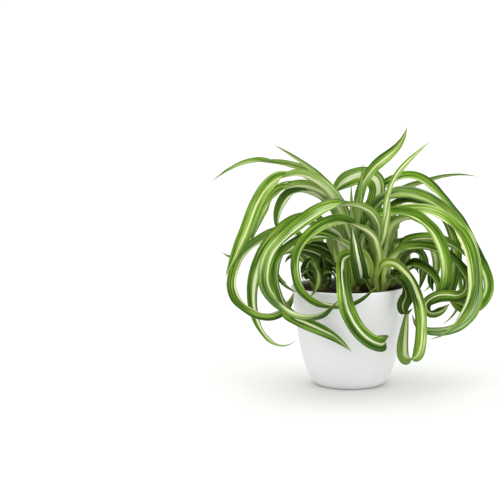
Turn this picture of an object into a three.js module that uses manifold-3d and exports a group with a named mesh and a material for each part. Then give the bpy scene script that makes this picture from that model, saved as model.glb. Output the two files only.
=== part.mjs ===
// A curly spider plant in a plain round pot, in millimetres, +Z up.
// The origin is the middle of the pot's flat underside, where it stands, and the front of the plant looks along -Y.
import * as THREE from "three";
import { mergeVertices } from "three/addons/utils/BufferGeometryUtils.js";
import Module from "manifold-3d";

// ---- driving dimensions -------------------------------------------------------------------------------------
const POT_HEIGHT = 111;
const RIM_RADIUS = 65;
const WALL = 4;
const FLOOR_THICKNESS = 5;
const FOOT_RADIUS = 35; // the flat ring on which the pot stands
const CORNER_HEIGHT = 22; // the rounded lower corner ends here
const CORNER_RADIUS = 50.2;
const POT_SIDES = 56;

const SOIL_LEVEL = 104;
const FIT_GAP = 0.35; // clearance between pieces that rest against each other
const FOOT_LIFT = 0.9; // a leaf's foot is that far over the crown's cone at its midrib, and nearer at its edges

const CROWN_RISE = 10; // height of the crown's cone over the soil
const CROWN_RADIUS = 10.5;
const CROWN_DEPTH = 22; // rootstock under the soil
const CROWN_SIDES = 16;

const RING_RADII = [1.8, 4.0, 6.2, 8.4]; // rings in which the leaves stand round a crown
const ROOT_HALF_WIDTH = 2.6;
const SHEATH_RISE = 11; // how far a leaf climbs beside its crown before it spreads
const SPREAD_LENGTH = 70; // a long leaf has its full width this far from its foot
const BLADE_THICKNESS = 0.8;
const FOLD = { foot: 19, level: 40, upright: 14 }; // how steeply the blade's halves rise from the midrib, degrees
const STATION_STEP = 12; // spacing of the cross-sections along a leaf
const MOST_TWIST = THREE.MathUtils.degToRad(34); // between one cross-section and the next
const TWIST_PASSES = 24;

// The eye that the leaf routes below are drawn for: a route's x and z are read on the upright plane through the
// pot's axis, and each point is then slid along the line of sight until it lies `back` behind that plane.
const EYE = { distance: 1400, height: 317 };

const CROWNS = {
  A: [31, -14],
  B: [3, -2],
  C: [-33, 12],
  D: [42, 20],
  E: [16, 22],
};

// One row for each leaf that is placed by hand:
// name, crown, ring, bearing of its root (degrees, 0 right, 90 back, 180 left, 270 front), width, length over which
// it narrows to its tip, and the route.
// A route's point is x, z, back and the way the leaf's upper side looks there: l, r, u, d, f, b stand for left,
// right, up, down, front and back, and letters mix.
const LEAVES = [
  ["left_reaching_arch", "B", 1, 95, 13, 110, "-4 190 8 ub, -15 211 14 ub, -30 229 20 ub, -48 240 25 ub, -65 245.5 30 ub, -82 249.5 33 uub, -100 251 35 uf, -118 248 37 uf, -137 239 38 uf, -155 226.5 38 u"],
  ["left_straight", "B", 0, 160, 10, 70, "-2 185 5 rub, -12 210 8 ub, -25 226 12 ub, -42 241 15 ub, -62 255.5 18 ub, -84 269 20 ub"],
  ["left_upper_arch", "B", 1, 192, 15, 70, "-3 174 -2 rub, -14 197 -3 ub, -28 213 -5 ub, -45 221.5 -7 ub, -62 223.5 -9 uub, -76 219 -11 uf, -87 209.5 -12 ulf, -95.5 196 -13 lff, -102 181 -13 lff, -107 167 -13 lf, -112 153 -13 lf"],
  ["left_striped_arch", "B", 2, 275, 17.5, 50, "-3 180 -8 rub, -14 206 -12 ub, -30 224 -16 ub, -48 234 -20 ub, -64 236.5 -24 uub, -79 231.5 -28 uff, -91 220.5 -31 lff, -100 206.5 -34 lfff, -107 191 -36 lfff, -113 175.5 -38 lfff, -119.5 161 -39 lff, -126 147 -40 lff, -133 133 -40 lff, -139 121 -40 lff"],
  ["left_hooked_tip", "B", 2, 215, 13, 70, "-6 178 6 ub, -24 208 8 ub, -45 224 7 ub, -64 226 5 u, -80 218 2 ulf, -92 202 0 lf, -102 182 -2 lf, -111 163 -4 lf, -122 148.5 -6 lf, -134 143 -8 lf, -143 148.5 -8 lf"],
  ["left_back_hook", "B", 2, 155, 15, 40, "-8 180 14 ub, -20 200 20 ub, -36 212 24 ub, -52 217.5 28 uf, -66 214 31 uf, -75.5 203 33 lf, -80 189 34 lf, -79.5 176 34 lf, -74 167 33 lf"],
  ["left_long_fall", "B", 3, 232, 16, 150, "-10 166 -12 ub, -25 180 -15 uuf, -42 186.5 -18 uf, -58 184 -20 uff, -72 176 -23 uff, -84 165 -25 ulff, -94 151 -25 lff, -102 134 -25 lfff, -107 117 -24 lfff, -109 100 -23 lfff, -108 85 -23 lfff, -104.5 71 -25 lff, -98 57.5 -29 lf, -88 46.5 -33 lf, -76 41.5 -37 df, -66 43.5 -40 df, -58 49 -42 df"],
  ["left_round_loop", "B", 3, 186, 13, 32, "-14 165 2 ub, -32 178 -2 u, -50 181 -6 uuf, -66 177 -10 uf, -80 171.5 -14 uff, -95 165 -19 uff, -108 156.5 -24 luff, -119 147.5 -28 lff, -126 136 -32 lff, -130.5 123 -36 lff, -132 110 -39 lff, -129 98 -41 lff, -121.5 88.5 -43 dlff, -110 80.5 -45 ddfff, -97 75.5 -47 ddfff, -84 76 -48 ddfff, -73 82.5 -47 drff, -66 92 -46 rff, -61.5 103 -46 rf"],
  ["low_left_sweep", "B", 3, 278, 15, 55, "-4 156 -18 ub, -20 166 -22 uff, -37 166.5 -26 uff, -52 162 -29 uff, -66 153.5 -31 uff, -76 145.5 -33 ulf, -81.5 134 -36 lf, -83 120 -40 lf, -81 106 -46 lf, -77 93.5 -53 lf, -71.5 83 -59 lf, -63 73.5 -65 uf, -48 66.5 -69 uff, -34 60.5 -72 uff, -20 53.5 -72 uff, -8 45 -70 uff, 3 35 -68 uf"],
  ["big_front_loop", "A", 1, 150, 17, 45, "36 150 -13 rub, 34.5 168 -15 rub, 27.5 186 -18 ub, 15 198 -22 uub, 0 202.5 -26 u, -20 200.5 -31 uf, -40 191 -36 uff, -60 177 -41 uff, -77 162 -45 ulff, -88.5 146 -49 lff, -94 128 -53 lff, -94 112 -57 lff, -87 97.5 -62 lf, -76 85.5 -68 ddlf, -61 76.5 -74 dddf, -44 73.5 -81 dddf, -30 77 -86 dddf, -20 85 -89 rddf, -10.5 95.5 -88 rff"],
  ["round_front_loop", "A", 1, 240, 14.5, 70, "32 142 -28 rub, 30 154 -34 rub, 24 165 -40 ub, 14 175 -46 ub, 2 182 -52 uff, -14 184 -57 uff, -30 178.5 -61 uff, -44 168 -64 ulff, -54.5 155 -66 lf, -59.5 140 -68 lf, -60 126 -70 lf, -57 112.5 -73 lf, -50 101.5 -76 ldf, -40 93.5 -79 df, -27 88 -81 ddf, -12 86.5 -82 ddf, 2 89 -82 ddf, 14 95 -81 df, 25 103.5 -80 df, 33 111 -78 df"],
  ["front_hanging", "A", 2, 235, 17, 30, "27 126 -22 rub, 23 136 -26 rub, 15 144 -31 ub, 5 147.5 -39 u, -4 143.5 -48 uff, -7.5 133 -63 ff, -7 118 -81 f, -5.5 102 -94 f, -3 87 -98 f, 2.5 73 -97 f, 10 60.5 -93 f, 20 50.5 -89 f, 31 44.5 -84 f, 40 44.5 -78 rf, 42 49.5 -70 rb, 37.5 53 -66 b, 31.5 54 -66 b"],
  ["left_rim_tip", "C", 2, 175, 9, 60, "-49 139 12 ub, -62 148 5 u, -75 146 -5 uf, -83.5 136.5 -16 lf, -82 125 -26 lf, -75.5 114.5 -36 lf, -66.5 106.5 -46 lf, -56.5 102 -54 df"],
  ["upright_striped", "A", 2, 172, 16.5, 48, "17 118 -38 ff, 12.5 128 -48 f, 9.5 140 -54 f, 7.5 152 -57 f, 5 166 -59 f, 2.5 179.5 -59 f"],
  ["top_leaf", "E", 0, 200, 13, 55, "12 172 17 rf, 9 193 10 rf, 11 209 6 rff, 15.5 224 3 rff, 24 238 0 rff, 34 248 -2 f, 46 257.5 -3 f, 56 268 -3 f, 61 277 -2 f, 64 287 0 f"],
  ["second_top_leaf", "A", 0, 20, 8, 60, "37 160 -19 lf, 39 185 -22 lf, 42 207 -22 lf, 48 226 -21 lf, 58 241 -20 lff, 70 253.5 -20 lff, 80 262.5 -20 lff, 89 271 -21 lf"],
  ["top_arch", "E", 0, 20, 21, 30, "22 180 24 lf, 27 199 26 lff, 31 213 27 lff, 30.5 225 28 luff, 22 232.5 29 ufff, 10 232.5 29 ufff, -2 228.5 28 ufff, -12 221.5 26 ufff, -20 212 24 luff"],
  ["thin_spear", "B", 0, 340, 6, 50, "9 180 0 f, 12.5 208 -2 f, 14 229 -3 f, 16 248 -3 f"],
  ["short_spear", "B", 1, 262, 6, 50, "4 166 -6 f, 3 195 -9 f, 2.5 225 -9 f"],
  ["pale_spear", "A", 0, 200, 7, 45, "38 158 -24 f, 41.5 182 -29 f, 44.5 200 -31 f, 43.5 215 -32 f"],
  ["right_outer_arch", "E", 1, 60, 14, 16, "17 178 31 lu, 23 202 33 luf, 33 218 31 uf, 46 227 28 uf, 61 232.5 25 uf, 76 231 24 uf, 89 223 22 uf, 101 211 20 ruf, 113 196.5 17 ruf, 124 181.5 13 ruf, 133 165 9 ruf, 140.5 148 4 rf, 148 132 0 rff, 153.5 117 -4 rff, 154 104 -8 rff, 149 93.5 -12 rff, 140.5 86.5 -15 rff, 130 85.5 -18 ff, 119.5 89.5 -19 ff, 110 95 -18 uff"],
  ["right_reaching", "E", 1, 150, 11, 90, "17 182 43 u, 36 204 48 u, 56 216.5 50 ub, 75 223.5 52 ub, 95 229.5 54 ub, 115 233.5 54 uub, 130 233.5 55 u, 144 230.5 55 u"],
  ["right_wide_arch", "E", 1, 330, 16, 45, "18 175 17 lu, 26 196 17 uf, 38 208 16 uf, 53 214 14 uff, 68 213.5 10 uff, 84 208.5 8 uff, 99 200 5 uf, 112 190 2 ruf, 123 177.5 -2 ruf, 132 163 -5 rf, 138 147 -9 rf, 141 130 -12 rf, 142 112 -15 rf, 141 97 -19 rff, 137 83 -23 rff, 130 72 -27 rdff, 119 64 -31 ddfff, 106 60 -34 ddfff, 93 59.5 -37 ddfff, 81 62 -38 ddfff, 73 69 -38 lf, 69.5 78 -37 lf"],
  ["right_inner_fall", "A", 1, 60, 14, 16, "38 160 -4 lub, 40 180 2 lu, 45 195 7 luf, 55 203 11 uf, 68 205.5 14 uuf, 82 202 15 uuf, 96 194.5 16 ruf, 107 183.5 18 rf, 114 170 20 rff, 117.5 154 22 rff, 118 139 22 ff, 116 125 20 f, 113.5 112 16 f, 109 101 12 f, 102.5 92.5 8 f"],
  ["right_bright_arch", "E", 2, 300, 16, 110, "16 165 8 lub, 26 183 3 uf, 41 191 0 uf, 58 194.5 -3 uf, 75 195.5 -5 uf, 90 193.5 -8 uf, 104 187 -12 uf, 116 177 -16 ruf, 126 164 -20 rff, 133 149 -24 rff, 136.5 132 -28 rff, 137.5 114 -31 rff, 135.5 98 -34 rff, 130 83 -37 rff, 122 70.5 -40 rff, 112 60 -43 rdf, 100 52.5 -45 df, 86 48.5 -46 df"],
  ["right_hoop", "B", 1, 345, 15, 24, "11 162 -2 lub, 17 177 -8 luf, 28 187 -12 uf, 42 192 -15 uf, 58 192.5 -18 uf, 73 188.5 -22 uff, 85 180.5 -25 ruff, 95 169 -28 rff, 102 155 -30 rff, 106 140 -31 rff, 107.5 125 -30 rff, 106 112 -26 rff, 101.5 101 -21 rff, 96 93.5 -16 rff"],
  ["right_pale_arch", "A", 1, 330, 17, 30, "39 150 -9 lub, 42 164 -8 lub, 48 176 -7 ub, 57 184.5 -6 ub, 68 187.5 -4 u, 79 184 -1 uf, 89 176 2 ruf"],
  ["right_mid_upper", "A", 2, 20, 13, 45, "38 138 -12 lub, 45 149 -11 ub, 56 158.5 -10 uf, 70 163 -8 uf, 86 164 -7 uff, 102 161 -5 uff, 115 155.5 -3 ruff, 125 148 -1 ruff, 133 139 1 rf"],
  ["right_mid_lower", "A", 2, 318, 15, 22, "39 131 -24 lub, 46 141 -24 ub, 57 150.5 -22 uf, 71 154.5 -20 uf, 86 154 -18 uf, 100 149.5 -16 uf, 113 142 -14 ruf, 123 132 -13 ruf, 130 120 -13 rff, 132.5 108.5 -16 rff, 128 100 -20 uff, 118 97.5 -24 uff, 107 98.5 -27 uff, 97 97 -29 uff, 89 92 -30 ulf, 85 86 -31 lf, 88 80.5 -32 dlf, 96 80 -33 ddff, 104.5 84 -34 dff, 112 90 -33 dff"],
  ["front_right_fold", "A", 3, 275, 15, 70, "35 125 -32 luf, 41 134 -38 uf, 51 133 -45 uf, 61 124.5 -52 ruf, 69 112.5 -58 rff, 74.5 99 -63 rff, 78.5 83 -67 rff, 80 65 -69 rff, 79.5 48 -69 rff, 76.5 33 -68 rff, 69.5 25 -62 rdf, 61.5 28 -55 b, 59.5 41 -50 b, 61 56 -46 b, 62.8 70 -42 b, 64.3 82 -40 b, 65 92 -40 b"],
  ["rim_knot", "A", 3, 320, 14, 26, "45 119 -32 ub, 54 117 -44 u, 61 112 -52 ruf, 64.5 103 -55 rff, 63 93.5 -57 ff, 59.5 85.5 -59 ff, 59.5 79 -57 df, 66 79 -53 d, 71.5 85.5 -51 b"],
  ["right_small_tip", "E", 2, 10, 11, 90, "34 150 24 ub, 58 160 30 ub, 84 160 38 u, 105 149 40 rf, 118 129 34 rf, 123 106 20 rf, 121 88 6 rf, 113 74 -2 df, 101 64.5 -6 df"],
  ["right_low_arch", "D", 1, 320, 13, 30, "53 126 10 ub, 61 132.5 6 uf, 72 133.5 2 uf, 83 130 -2 uf, 92 123.5 -5 ruf, 98 114.5 -7 rff, 98.5 105 -8 rff, 95 98 -7 rf"],
  ["right_dark_bend", "D", 2, 20, 13, 35, "52 134 26 ub, 61 146 28 ub, 70 150 27 uf, 77.5 145 24 ruf, 79.5 135 20 rff, 78.5 124 16 rff, 77.5 113 12 rff, 76 103 8 rff"],
  ["right_far_curl", "D", 2, 80, 11, 25, "58 124 36 ub, 71 131 40 u, 84 128 36 ruf, 91 120 30 rff, 90.5 111 24 fff, 93.5 102.5 20 fff"],
  ["rim_low_curl", "A", 3, 5, 10, 25, "40 119 -15 ub, 47 123 -19 uf, 55 122 -25 uf, 60.5 117 -31 ruf, 62 110 -37 rf"],
  ["inner_small_coil", "D", 3, 245, 9, 18, "43.5 119 2 uf, 49.5 119.5 -5 uf, 55 117.5 -10 uf, 59 113.5 -14 ruf, 59.5 108.5 -17 rff"],
  ["inner_wide_dark", "B", 3, 140, 14, 25, "-10 132 8 uff, -21 138.5 10 uff, -32 144.5 12 uff, -43 149 13 uff, -55 151.5 12 uff, -65 154.5 10 uff, -72 157 9 uff"],
  ["inner_back_dark", "B", 2, 95, 12, 30, "-5 134 18 uf, -12 142 22 uff, -20 148.5 26 uff, -29 154.5 28 uff, -39 157.5 28 uff, -48 155.5 26 uff"],
  ["dark_oval", "C", 1, 190, 11, 20, "-42.5 128 3 ff, -43.5 136 1 uff, -40 143 4 uub"],
  ["rim_thin_hook", "C", 1, 276, 7, 30, "-35 125 -1 ub, -39.5 133 -7 ub, -41.5 136.5 -16 u, -36.5 130 -29 rf, -33.5 119.5 -41 rff, -35.5 109 -52 ff, -40.5 101 -60 ff, -44 96.5 -64 ff"],
  ["dark_blade", "C", 0, 330, 10, 25, "-28 132 7 f, -28 139 3 f, -30 146 2 f"],
  ["low_dark_curl", "C", 2, 330, 11, 25, "-23.5 126 0 ub, -18 131 -8 uf, -10.5 126.5 -14 ruf, -9 118 -18 rf, -13 111.5 -22 df, -20 110 -24 df"],
];

const WAYS = { l: [-1, 0, 0], r: [1, 0, 0], u: [0, 0, 1], d: [0, 0, -1], f: [0, -1, 0], b: [0, 1, 0] };

// Short dark leaves that curl low among the roots. They are one body with their crown.
// Crown, ring, bearing of the root, width and route.
const INNER_LEAVES = [
  ["C", 3, 300, 8, "-27 122 -2 uf, -20 126 -8 uf, -14 121 -12 ruf, -14 114 -14 rf"],
  ["C", 3, 255, 7, "-37 126 -6 ub, -46 128 -14 uf, -52 122 -18 lf, -50 115 -20 ldf"],
  ["C", 3, 20, 9, "-20 125 12 ub, -14 129 10 uf, -9 126 8 ruf, -8 118 7 rf"],
  ["C", 3, 80, 8, "-32 124 24 ub, -38 129 29 uf, -46 127 32 uff, -52 119 32 lff"],
  ["C", 3, 140, 9, "-44 130 24 ub, -54 142 28 uf, -65 143 28 uff, -72 135 26 lff"],
  ["B", 3, 30, 9, "16 126 8 ub, 24 138 10 uf, 32 140 8 uff, 36 133 6 rff"],
  ["B", 3, 100, 8, "2 126 14 ub, -4 140 18 uf, -14 145 18 uff, -20 138 16 lff"],
  ["D", 3, 300, 8, "48 121 8 ub, 55 127 4 uf, 61 123 0 ruf, 61 116 -2 rf"],
  ["D", 3, 345, 9, "54 122 18 ub, 64 132 18 uf, 74 131 16 uff, 79 123 14 rff"],
];
const INNER_TAPER = 26;
const INNER_LIFT = -1.5; // their feet are sunk in the crown

// Leaves that fill the side away from the eye follow a rule: crown, ring, root bearing, bearing of travel, reach,
// height over the crown and turn of the curl in degrees.
const BACK_LEAVES = [
  ["C", 1, 110, 128, 95, 64, 200],
  ["C", 2, 50, 100, 74, 60, 215],
  ["C", 2, 112, 152, 84, 46, 190],
  ["E", 2, 72, 88, 96, 96, 205],
  ["E", 2, 150, 118, 80, 76, 235],
  ["E", 3, 100, 100, 78, 60, 165],
  ["D", 1, 140, 84, 92, 84, 215],
  ["D", 3, 100, 72, 84, 48, 180],
  ["D", 1, 50, 48, 92, 50, 190],
  ["B", 2, 30, 50, 60, 36, 150],
];
const BACK_WIDTH = 14;
const BACK_TAPER = 60;

// ---- curves ---------------------------------------------------------------------------------------------------
const vec = (x, y, z) => new THREE.Vector3(x, y, z);

function onSight(x, z, back) {
  const k = 1 + back / EYE.distance;
  return vec(x * k, back, EYE.height + (z - EYE.height) * k);
}

function facing(letters) {
  const sum = vec(0, 0, 0);
  for (const letter of letters) sum.add(vec(...WAYS[letter]));
  return sum.normalize();
}

// A natural cubic spline: the line a springy strip takes through the knots. Values are arrays of numbers.
function springyLine(knots, values) {
  const n = knots.length - 1;
  const width = values[0].length;
  const bend = values.map(() => new Array(width).fill(0));
  for (let c = 0; c < width; c++) {
    const upper = [0];
    const right = [0];
    for (let i = 1; i < n; i++) {
      const a = knots[i] - knots[i - 1];
      const b = knots[i + 1] - knots[i];
      const slopes = (values[i + 1][c] - values[i][c]) / b - (values[i][c] - values[i - 1][c]) / a;
      const pivot = 2 * (a + b) - a * upper[i - 1];
      upper[i] = b / pivot;
      right[i] = (6 * slopes - a * right[i - 1]) / pivot;
    }
    for (let i = n - 1; i > 0; i--) bend[i][c] = right[i] - upper[i] * bend[i + 1][c];
  }
  return (t) => {
    let i = 0;
    while (i < n - 1 && t > knots[i + 1]) i++;
    const h = knots[i + 1] - knots[i];
    const q = (t - knots[i]) / h;
    const p = 1 - q;
    return values[i].map((v, c) => p * v + q * values[i + 1][c]
      + (h * h / 6) * ((p * p * p - p) * bend[i][c] + (q * q * q - q) * bend[i + 1][c]));
  };
}

function mixed(knots, vectors) {
  return (t) => {
    let i = 0;
    while (i < knots.length - 2 && t > knots[i + 1]) i++;
    const q = THREE.MathUtils.clamp((t - knots[i]) / (knots[i + 1] - knots[i]), 0, 1);
    return vectors[i].clone().lerp(vectors[i + 1], q * q * (3 - 2 * q)).normalize();
  };
}

// ---- leaves ---------------------------------------------------------------------------------------------------
function crownTop(radius) {
  return SOIL_LEVEL + CROWN_RISE * (1 - radius / CROWN_RADIUS);
}

// The two lowest points of a leaf: on the crown's cone, and a little way up beside it.
function rootOf(crown, ring, bearing, lift = FOOT_LIFT) {
  const [cx, cy] = CROWNS[crown];
  const a = THREE.MathUtils.degToRad(bearing);
  const out = vec(Math.cos(a), Math.sin(a), 0);
  const radius = RING_RADII[ring];
  const foot = vec(cx, cy, crownTop(radius) + lift).addScaledVector(out, radius);
  const neck = foot.clone().addScaledVector(out, 0.5 + 0.9 * ring).add(vec(0, 0, SHEATH_RISE));
  return { points: [foot, neck], faces: [out.clone().negate(), out.clone().negate()] };
}

function handRoute(text) {
  const points = [];
  const faces = [];
  for (const entry of text.split(",")) {
    const [x, z, back, letters] = entry.trim().split(" ");
    points.push(onSight(Number(x), Number(z), Number(back)));
    faces.push(facing(letters));
  }
  return { points, faces };
}

// An arch in one upright plane that rises, goes over and curls under, as on the plant's far side.
function archRoute(crown, travel, reach, height, turn) {
  const [cx, cy] = CROWNS[crown];
  const a = THREE.MathUtils.degToRad(travel);
  const out = vec(Math.cos(a), Math.sin(a), 0);
  const up = vec(0, 0, 1);
  const points = [];
  const faces = [];
  const curl = reach * 0.36;
  const middle = vec(cx, cy, SOIL_LEVEL + height - curl).addScaledVector(out, reach - curl);
  const rise = vec(cx, cy, SOIL_LEVEL + height * 0.62).addScaledVector(out, reach * 0.2);
  points.push(rise);
  faces.push(out.clone().negate().addScaledVector(up, 0.6).normalize());
  const steps = Math.round(turn / 40);
  for (let i = 0; i <= steps; i++) {
    const angle = THREE.MathUtils.degToRad(112 - (turn * i) / steps);
    const radial = out.clone().multiplyScalar(Math.cos(angle)).addScaledVector(up, Math.sin(angle));
    points.push(middle.clone().addScaledVector(radial, curl * (1 - 0.1 * (i / steps))));
    faces.push(radial);
  }
  return { points, faces };
}

const smooth = (t) => {
  const q = THREE.MathUtils.clamp(t, 0, 1);
  return q * q * (3 - 2 * q);
};

function halfWidth(arc, length, { width, taper }) {
  const root = Math.min(ROOT_HALF_WIDTH, width * 0.3);
  const spread = smooth(arc / Math.min(SPREAD_LENGTH, 0.32 * length));
  const end = Math.min(1, (length - arc) / Math.min(taper, 0.6 * length));
  return (root + (width / 2 - root) * spread) * Math.sin((end * Math.PI) / 2);
}

// The blade is folded along its midrib, and the fold is deepest where its upper side looks straight up or down.
function foldOf(arc, up) {
  const open = THREE.MathUtils.lerp(FOLD.upright, FOLD.level, smooth(Math.abs(up.z)));
  return THREE.MathUtils.degToRad(THREE.MathUtils.lerp(FOLD.foot, open, smooth((arc - 12) / 35)));
}

// Cross-sections of a leaf at even steps along it. Their middles may be moved later, and frames() follows them.
function stationsOf(root, route) {
  const points = [...root.points, ...route.points];
  const faces = [...root.faces, ...route.faces];
  const knots = [0];
  for (let i = 1; i < points.length; i++) knots.push(knots[i - 1] + points[i].distanceTo(points[i - 1]));
  const line = springyLine(knots, points.map((p) => p.toArray()));
  const face = mixed(knots, faces);
  const end = knots[knots.length - 1];
  const fine = Math.ceil(end);
  const along = [0];
  const at = (i) => vec(...line((end * i) / fine));
  for (let i = 1; i <= fine; i++) along.push(along[i - 1] + at(i).distanceTo(at(i - 1)));
  const length = along[fine];
  const count = Math.max(8, Math.round(length / STATION_STEP));
  const stations = [];
  let j = 0;
  for (let k = 0; k <= count; k++) {
    const target = (length * k) / count;
    while (j < fine - 1 && along[j + 1] < target) j++;
    const share = THREE.MathUtils.clamp((target - along[j]) / (along[j + 1] - along[j]), 0, 1);
    const t = (end * (j + share)) / fine;
    stations.push({ arc: target, middle: vec(...line(t)), face: face(t) });
  }
  for (const station of stations) station.drawn = station.middle.clone();
  return stations;
}

// Tangent and upper-side direction of each section, from where the middles are now. The upper side is measured as a
// turn about the midrib, against a direction that is carried along it without twisting, so that a quick turn can be
// spread over the sections beside it.
function frames(stations) {
  const last = stations.length - 1;
  const tangents = stations.map((_, i) => {
    const key = i === 0 ? "drawn" : "middle"; // a foot keeps the tilt that it was seated with
    return stations[Math.min(last, i + 1)][key].clone().sub(stations[Math.max(0, i - 1)][key]).normalize();
  });
  const carried = [];
  const turns = [];
  stations.forEach(({ face }, i) => {
    const tangent = tangents[i];
    const wanted = face.clone().addScaledVector(tangent, -face.dot(tangent)).normalize();
    if (i === 0) carried.push(wanted.clone());
    else {
      const bend = new THREE.Quaternion().setFromUnitVectors(tangents[i - 1], tangent);
      carried.push(carried[i - 1].clone().applyQuaternion(bend));
    }
    const sideways = tangent.clone().cross(carried[i]);
    const turn = Math.atan2(wanted.dot(sideways), wanted.dot(carried[i]));
    const whole = i === 0 ? 0 : Math.round((turns[i - 1] - turn) / (2 * Math.PI));
    turns.push(turn + whole * 2 * Math.PI);
  });
  for (let pass = 0; pass < TWIST_PASSES; pass++) {
    for (let i = 0; i < last; i++) {
      const step = turns[i + 1] - turns[i];
      const over = Math.sign(step) * Math.max(0, Math.abs(step) - MOST_TWIST);
      if (i > 0) turns[i] += over / 2;
      turns[i + 1] -= over / (i > 0 ? 2 : 1);
    }
  }
  return stations.map(({ arc, middle }, i) => {
    const up = carried[i].clone().applyAxisAngle(tangents[i], turns[i]);
    return { arc, middle, tangent: tangents[i], up };
  });
}

// The blade's closed mesh: six points a section, three on each side, so that both sides split alike.
// `margin` makes it that much larger on every side.
function bladeGeometry({ stations, size }, margin = 0, from = 0, to = stations.length - 1) {
  const positions = [];
  const index = [];
  const { arc: length } = stations[stations.length - 1];
  const sections = frames(stations).slice(from, to + 1);
  const last = sections.length - 1;
  for (const { arc, middle, tangent, up } of sections.slice(0, last)) {
    const side = tangent.clone().cross(up).normalize();
    const half = halfWidth(arc, length, size) + margin;
    const fold = foldOf(arc, up);
    const rise = half * Math.sin(fold);
    const sink = (rise / 2) * smooth(arc / SPREAD_LENGTH); // the drawn route runs through the middle of the fold
    for (const lift of [margin, -BLADE_THICKNESS - margin]) {
      for (const across of [-1, 0, 1]) {
        const p = middle.clone().addScaledVector(side, across * half * Math.cos(fold))
          .addScaledVector(up, lift + Math.abs(across) * rise - sink);
        positions.push(p.x, p.y, p.z);
      }
    }
  }
  const tip = sections[last];
  const apex = tip.middle.clone().addScaledVector(tip.up, -BLADE_THICKNESS / 2);
  positions.push(apex.x, apex.y, apex.z);
  const apexIndex = last * 6;
  const quad = (a, b, c, d) => index.push(a, b, c, a, c, d);
  for (let k = 0; k < last - 1; k++) {
    const a = k * 6;
    const b = a + 6;
    for (const half of [0, 1]) {
      quad(a + half, a + half + 1, b + half + 1, b + half);
      index.push(a + 3 + half, b + 4 + half, a + 4 + half, a + 3 + half, b + 3 + half, b + 4 + half);
    }
    quad(a + 3, a, b, b + 3);
    quad(a + 2, a + 5, b + 5, b + 2);
  }
  quad(0, 3, 4, 1);
  quad(1, 4, 5, 2);
  const e = (last - 1) * 6;
  for (const [p, q] of [[0, 1], [1, 2], [2, 5], [5, 4], [4, 3], [3, 0]]) index.push(e + p, e + q, apexIndex);
  const geometry = new THREE.BufferGeometry();
  geometry.setAttribute("position", new THREE.Float32BufferAttribute(positions, 3));
  geometry.setIndex(index);
  geometry.computeVertexNormals();
  return geometry;
}

// ---- pot, soil and crowns ---------------------------------------------------------------------------------------
function lathe(outline, sides) {
  const geometry = new THREE.LatheGeometry(outline, sides);
  geometry.rotateX(Math.PI / 2);
  return geometry;
}

// The pot's outer outline from the foot to just under the lip, as (radius, height).
function outerOutline() {
  const corner = new THREE.QuadraticBezierCurve(
    new THREE.Vector2(FOOT_RADIUS, 0),
    new THREE.Vector2(CORNER_RADIUS - CORNER_HEIGHT * 0.31, 0),
    new THREE.Vector2(CORNER_RADIUS, CORNER_HEIGHT),
  );
  const side = new THREE.CubicBezierCurve(
    new THREE.Vector2(CORNER_RADIUS, CORNER_HEIGHT),
    new THREE.Vector2(54.6, 36),
    new THREE.Vector2(59.5, 62),
    new THREE.Vector2(RIM_RADIUS, POT_HEIGHT - 1.2),
  );
  return [...corner.getPoints(5), ...side.getPoints(5).slice(1)];
}

function innerOutline(gap) {
  return outerOutline()
    .map((p) => new THREE.Vector2(p.x - WALL - gap, Math.max(p.y, FLOOR_THICKNESS + gap)))
    .filter((p, i, all) => i === all.length - 1 || p.y > FLOOR_THICKNESS + gap || all[i + 1].y > FLOOR_THICKNESS + gap);
}

function potGeometry() {
  const outer = outerOutline();
  const lip = [
    new THREE.Vector2(RIM_RADIUS - 0.7, POT_HEIGHT),
    new THREE.Vector2(RIM_RADIUS - WALL + 0.7, POT_HEIGHT),
  ];
  const inner = innerOutline(0).reverse();
  const outline = [new THREE.Vector2(0, 0), ...outer, ...lip, ...inner, new THREE.Vector2(0, FLOOR_THICKNESS)];
  return lathe(outline, POT_SIDES);
}

const wasm = await Module();
wasm.setup();

function solidOf(geometry) {
  const bare = geometry.clone();
  bare.deleteAttribute("normal");
  bare.deleteAttribute("uv");
  const merged = mergeVertices(bare, 1e-3);
  return new wasm.Manifold(new wasm.Mesh({
    numProp: 3,
    vertProperties: merged.attributes.position.array,
    triVerts: new Uint32Array(merged.index.array),
  }));
}

function geometryOf(solid) {
  const mesh = solid.getMesh();
  const geometry = new THREE.BufferGeometry();
  geometry.setAttribute("position", new THREE.BufferAttribute(new Float32Array(mesh.vertProperties), 3));
  geometry.setIndex(new THREE.BufferAttribute(mesh.triVerts, 1));
  geometry.computeVertexNormals();
  return geometry;
}

function crownOutline(gap) {
  return [
    new THREE.Vector2(0, SOIL_LEVEL - CROWN_DEPTH - gap),
    new THREE.Vector2(4 + gap, SOIL_LEVEL - CROWN_DEPTH + 3 - gap),
    new THREE.Vector2(8 + gap, SOIL_LEVEL - 8),
    new THREE.Vector2(CROWN_RADIUS - 0.6 + gap, SOIL_LEVEL - 2.5),
  ];
}

function crownGeometry([x, y]) {
  const outline = [
    ...crownOutline(0),
    new THREE.Vector2(CROWN_RADIUS - 1.2, crownTop(CROWN_RADIUS - 1.2)),
    new THREE.Vector2(0, crownTop(0)),
  ];
  const geometry = lathe(outline, CROWN_SIDES);
  geometry.translate(x, y, 0);
  return geometry;
}

// The plain hole in the soil in which a crown stands.
function crownHole([x, y]) {
  const below = crownOutline(FIT_GAP);
  const top = new THREE.Vector2(below[below.length - 1].x, SOIL_LEVEL + 8);
  const geometry = lathe([...below, top, new THREE.Vector2(0, SOIL_LEVEL + 8)], CROWN_SIDES);
  geometry.translate(x, y, 0);
  return geometry;
}

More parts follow.
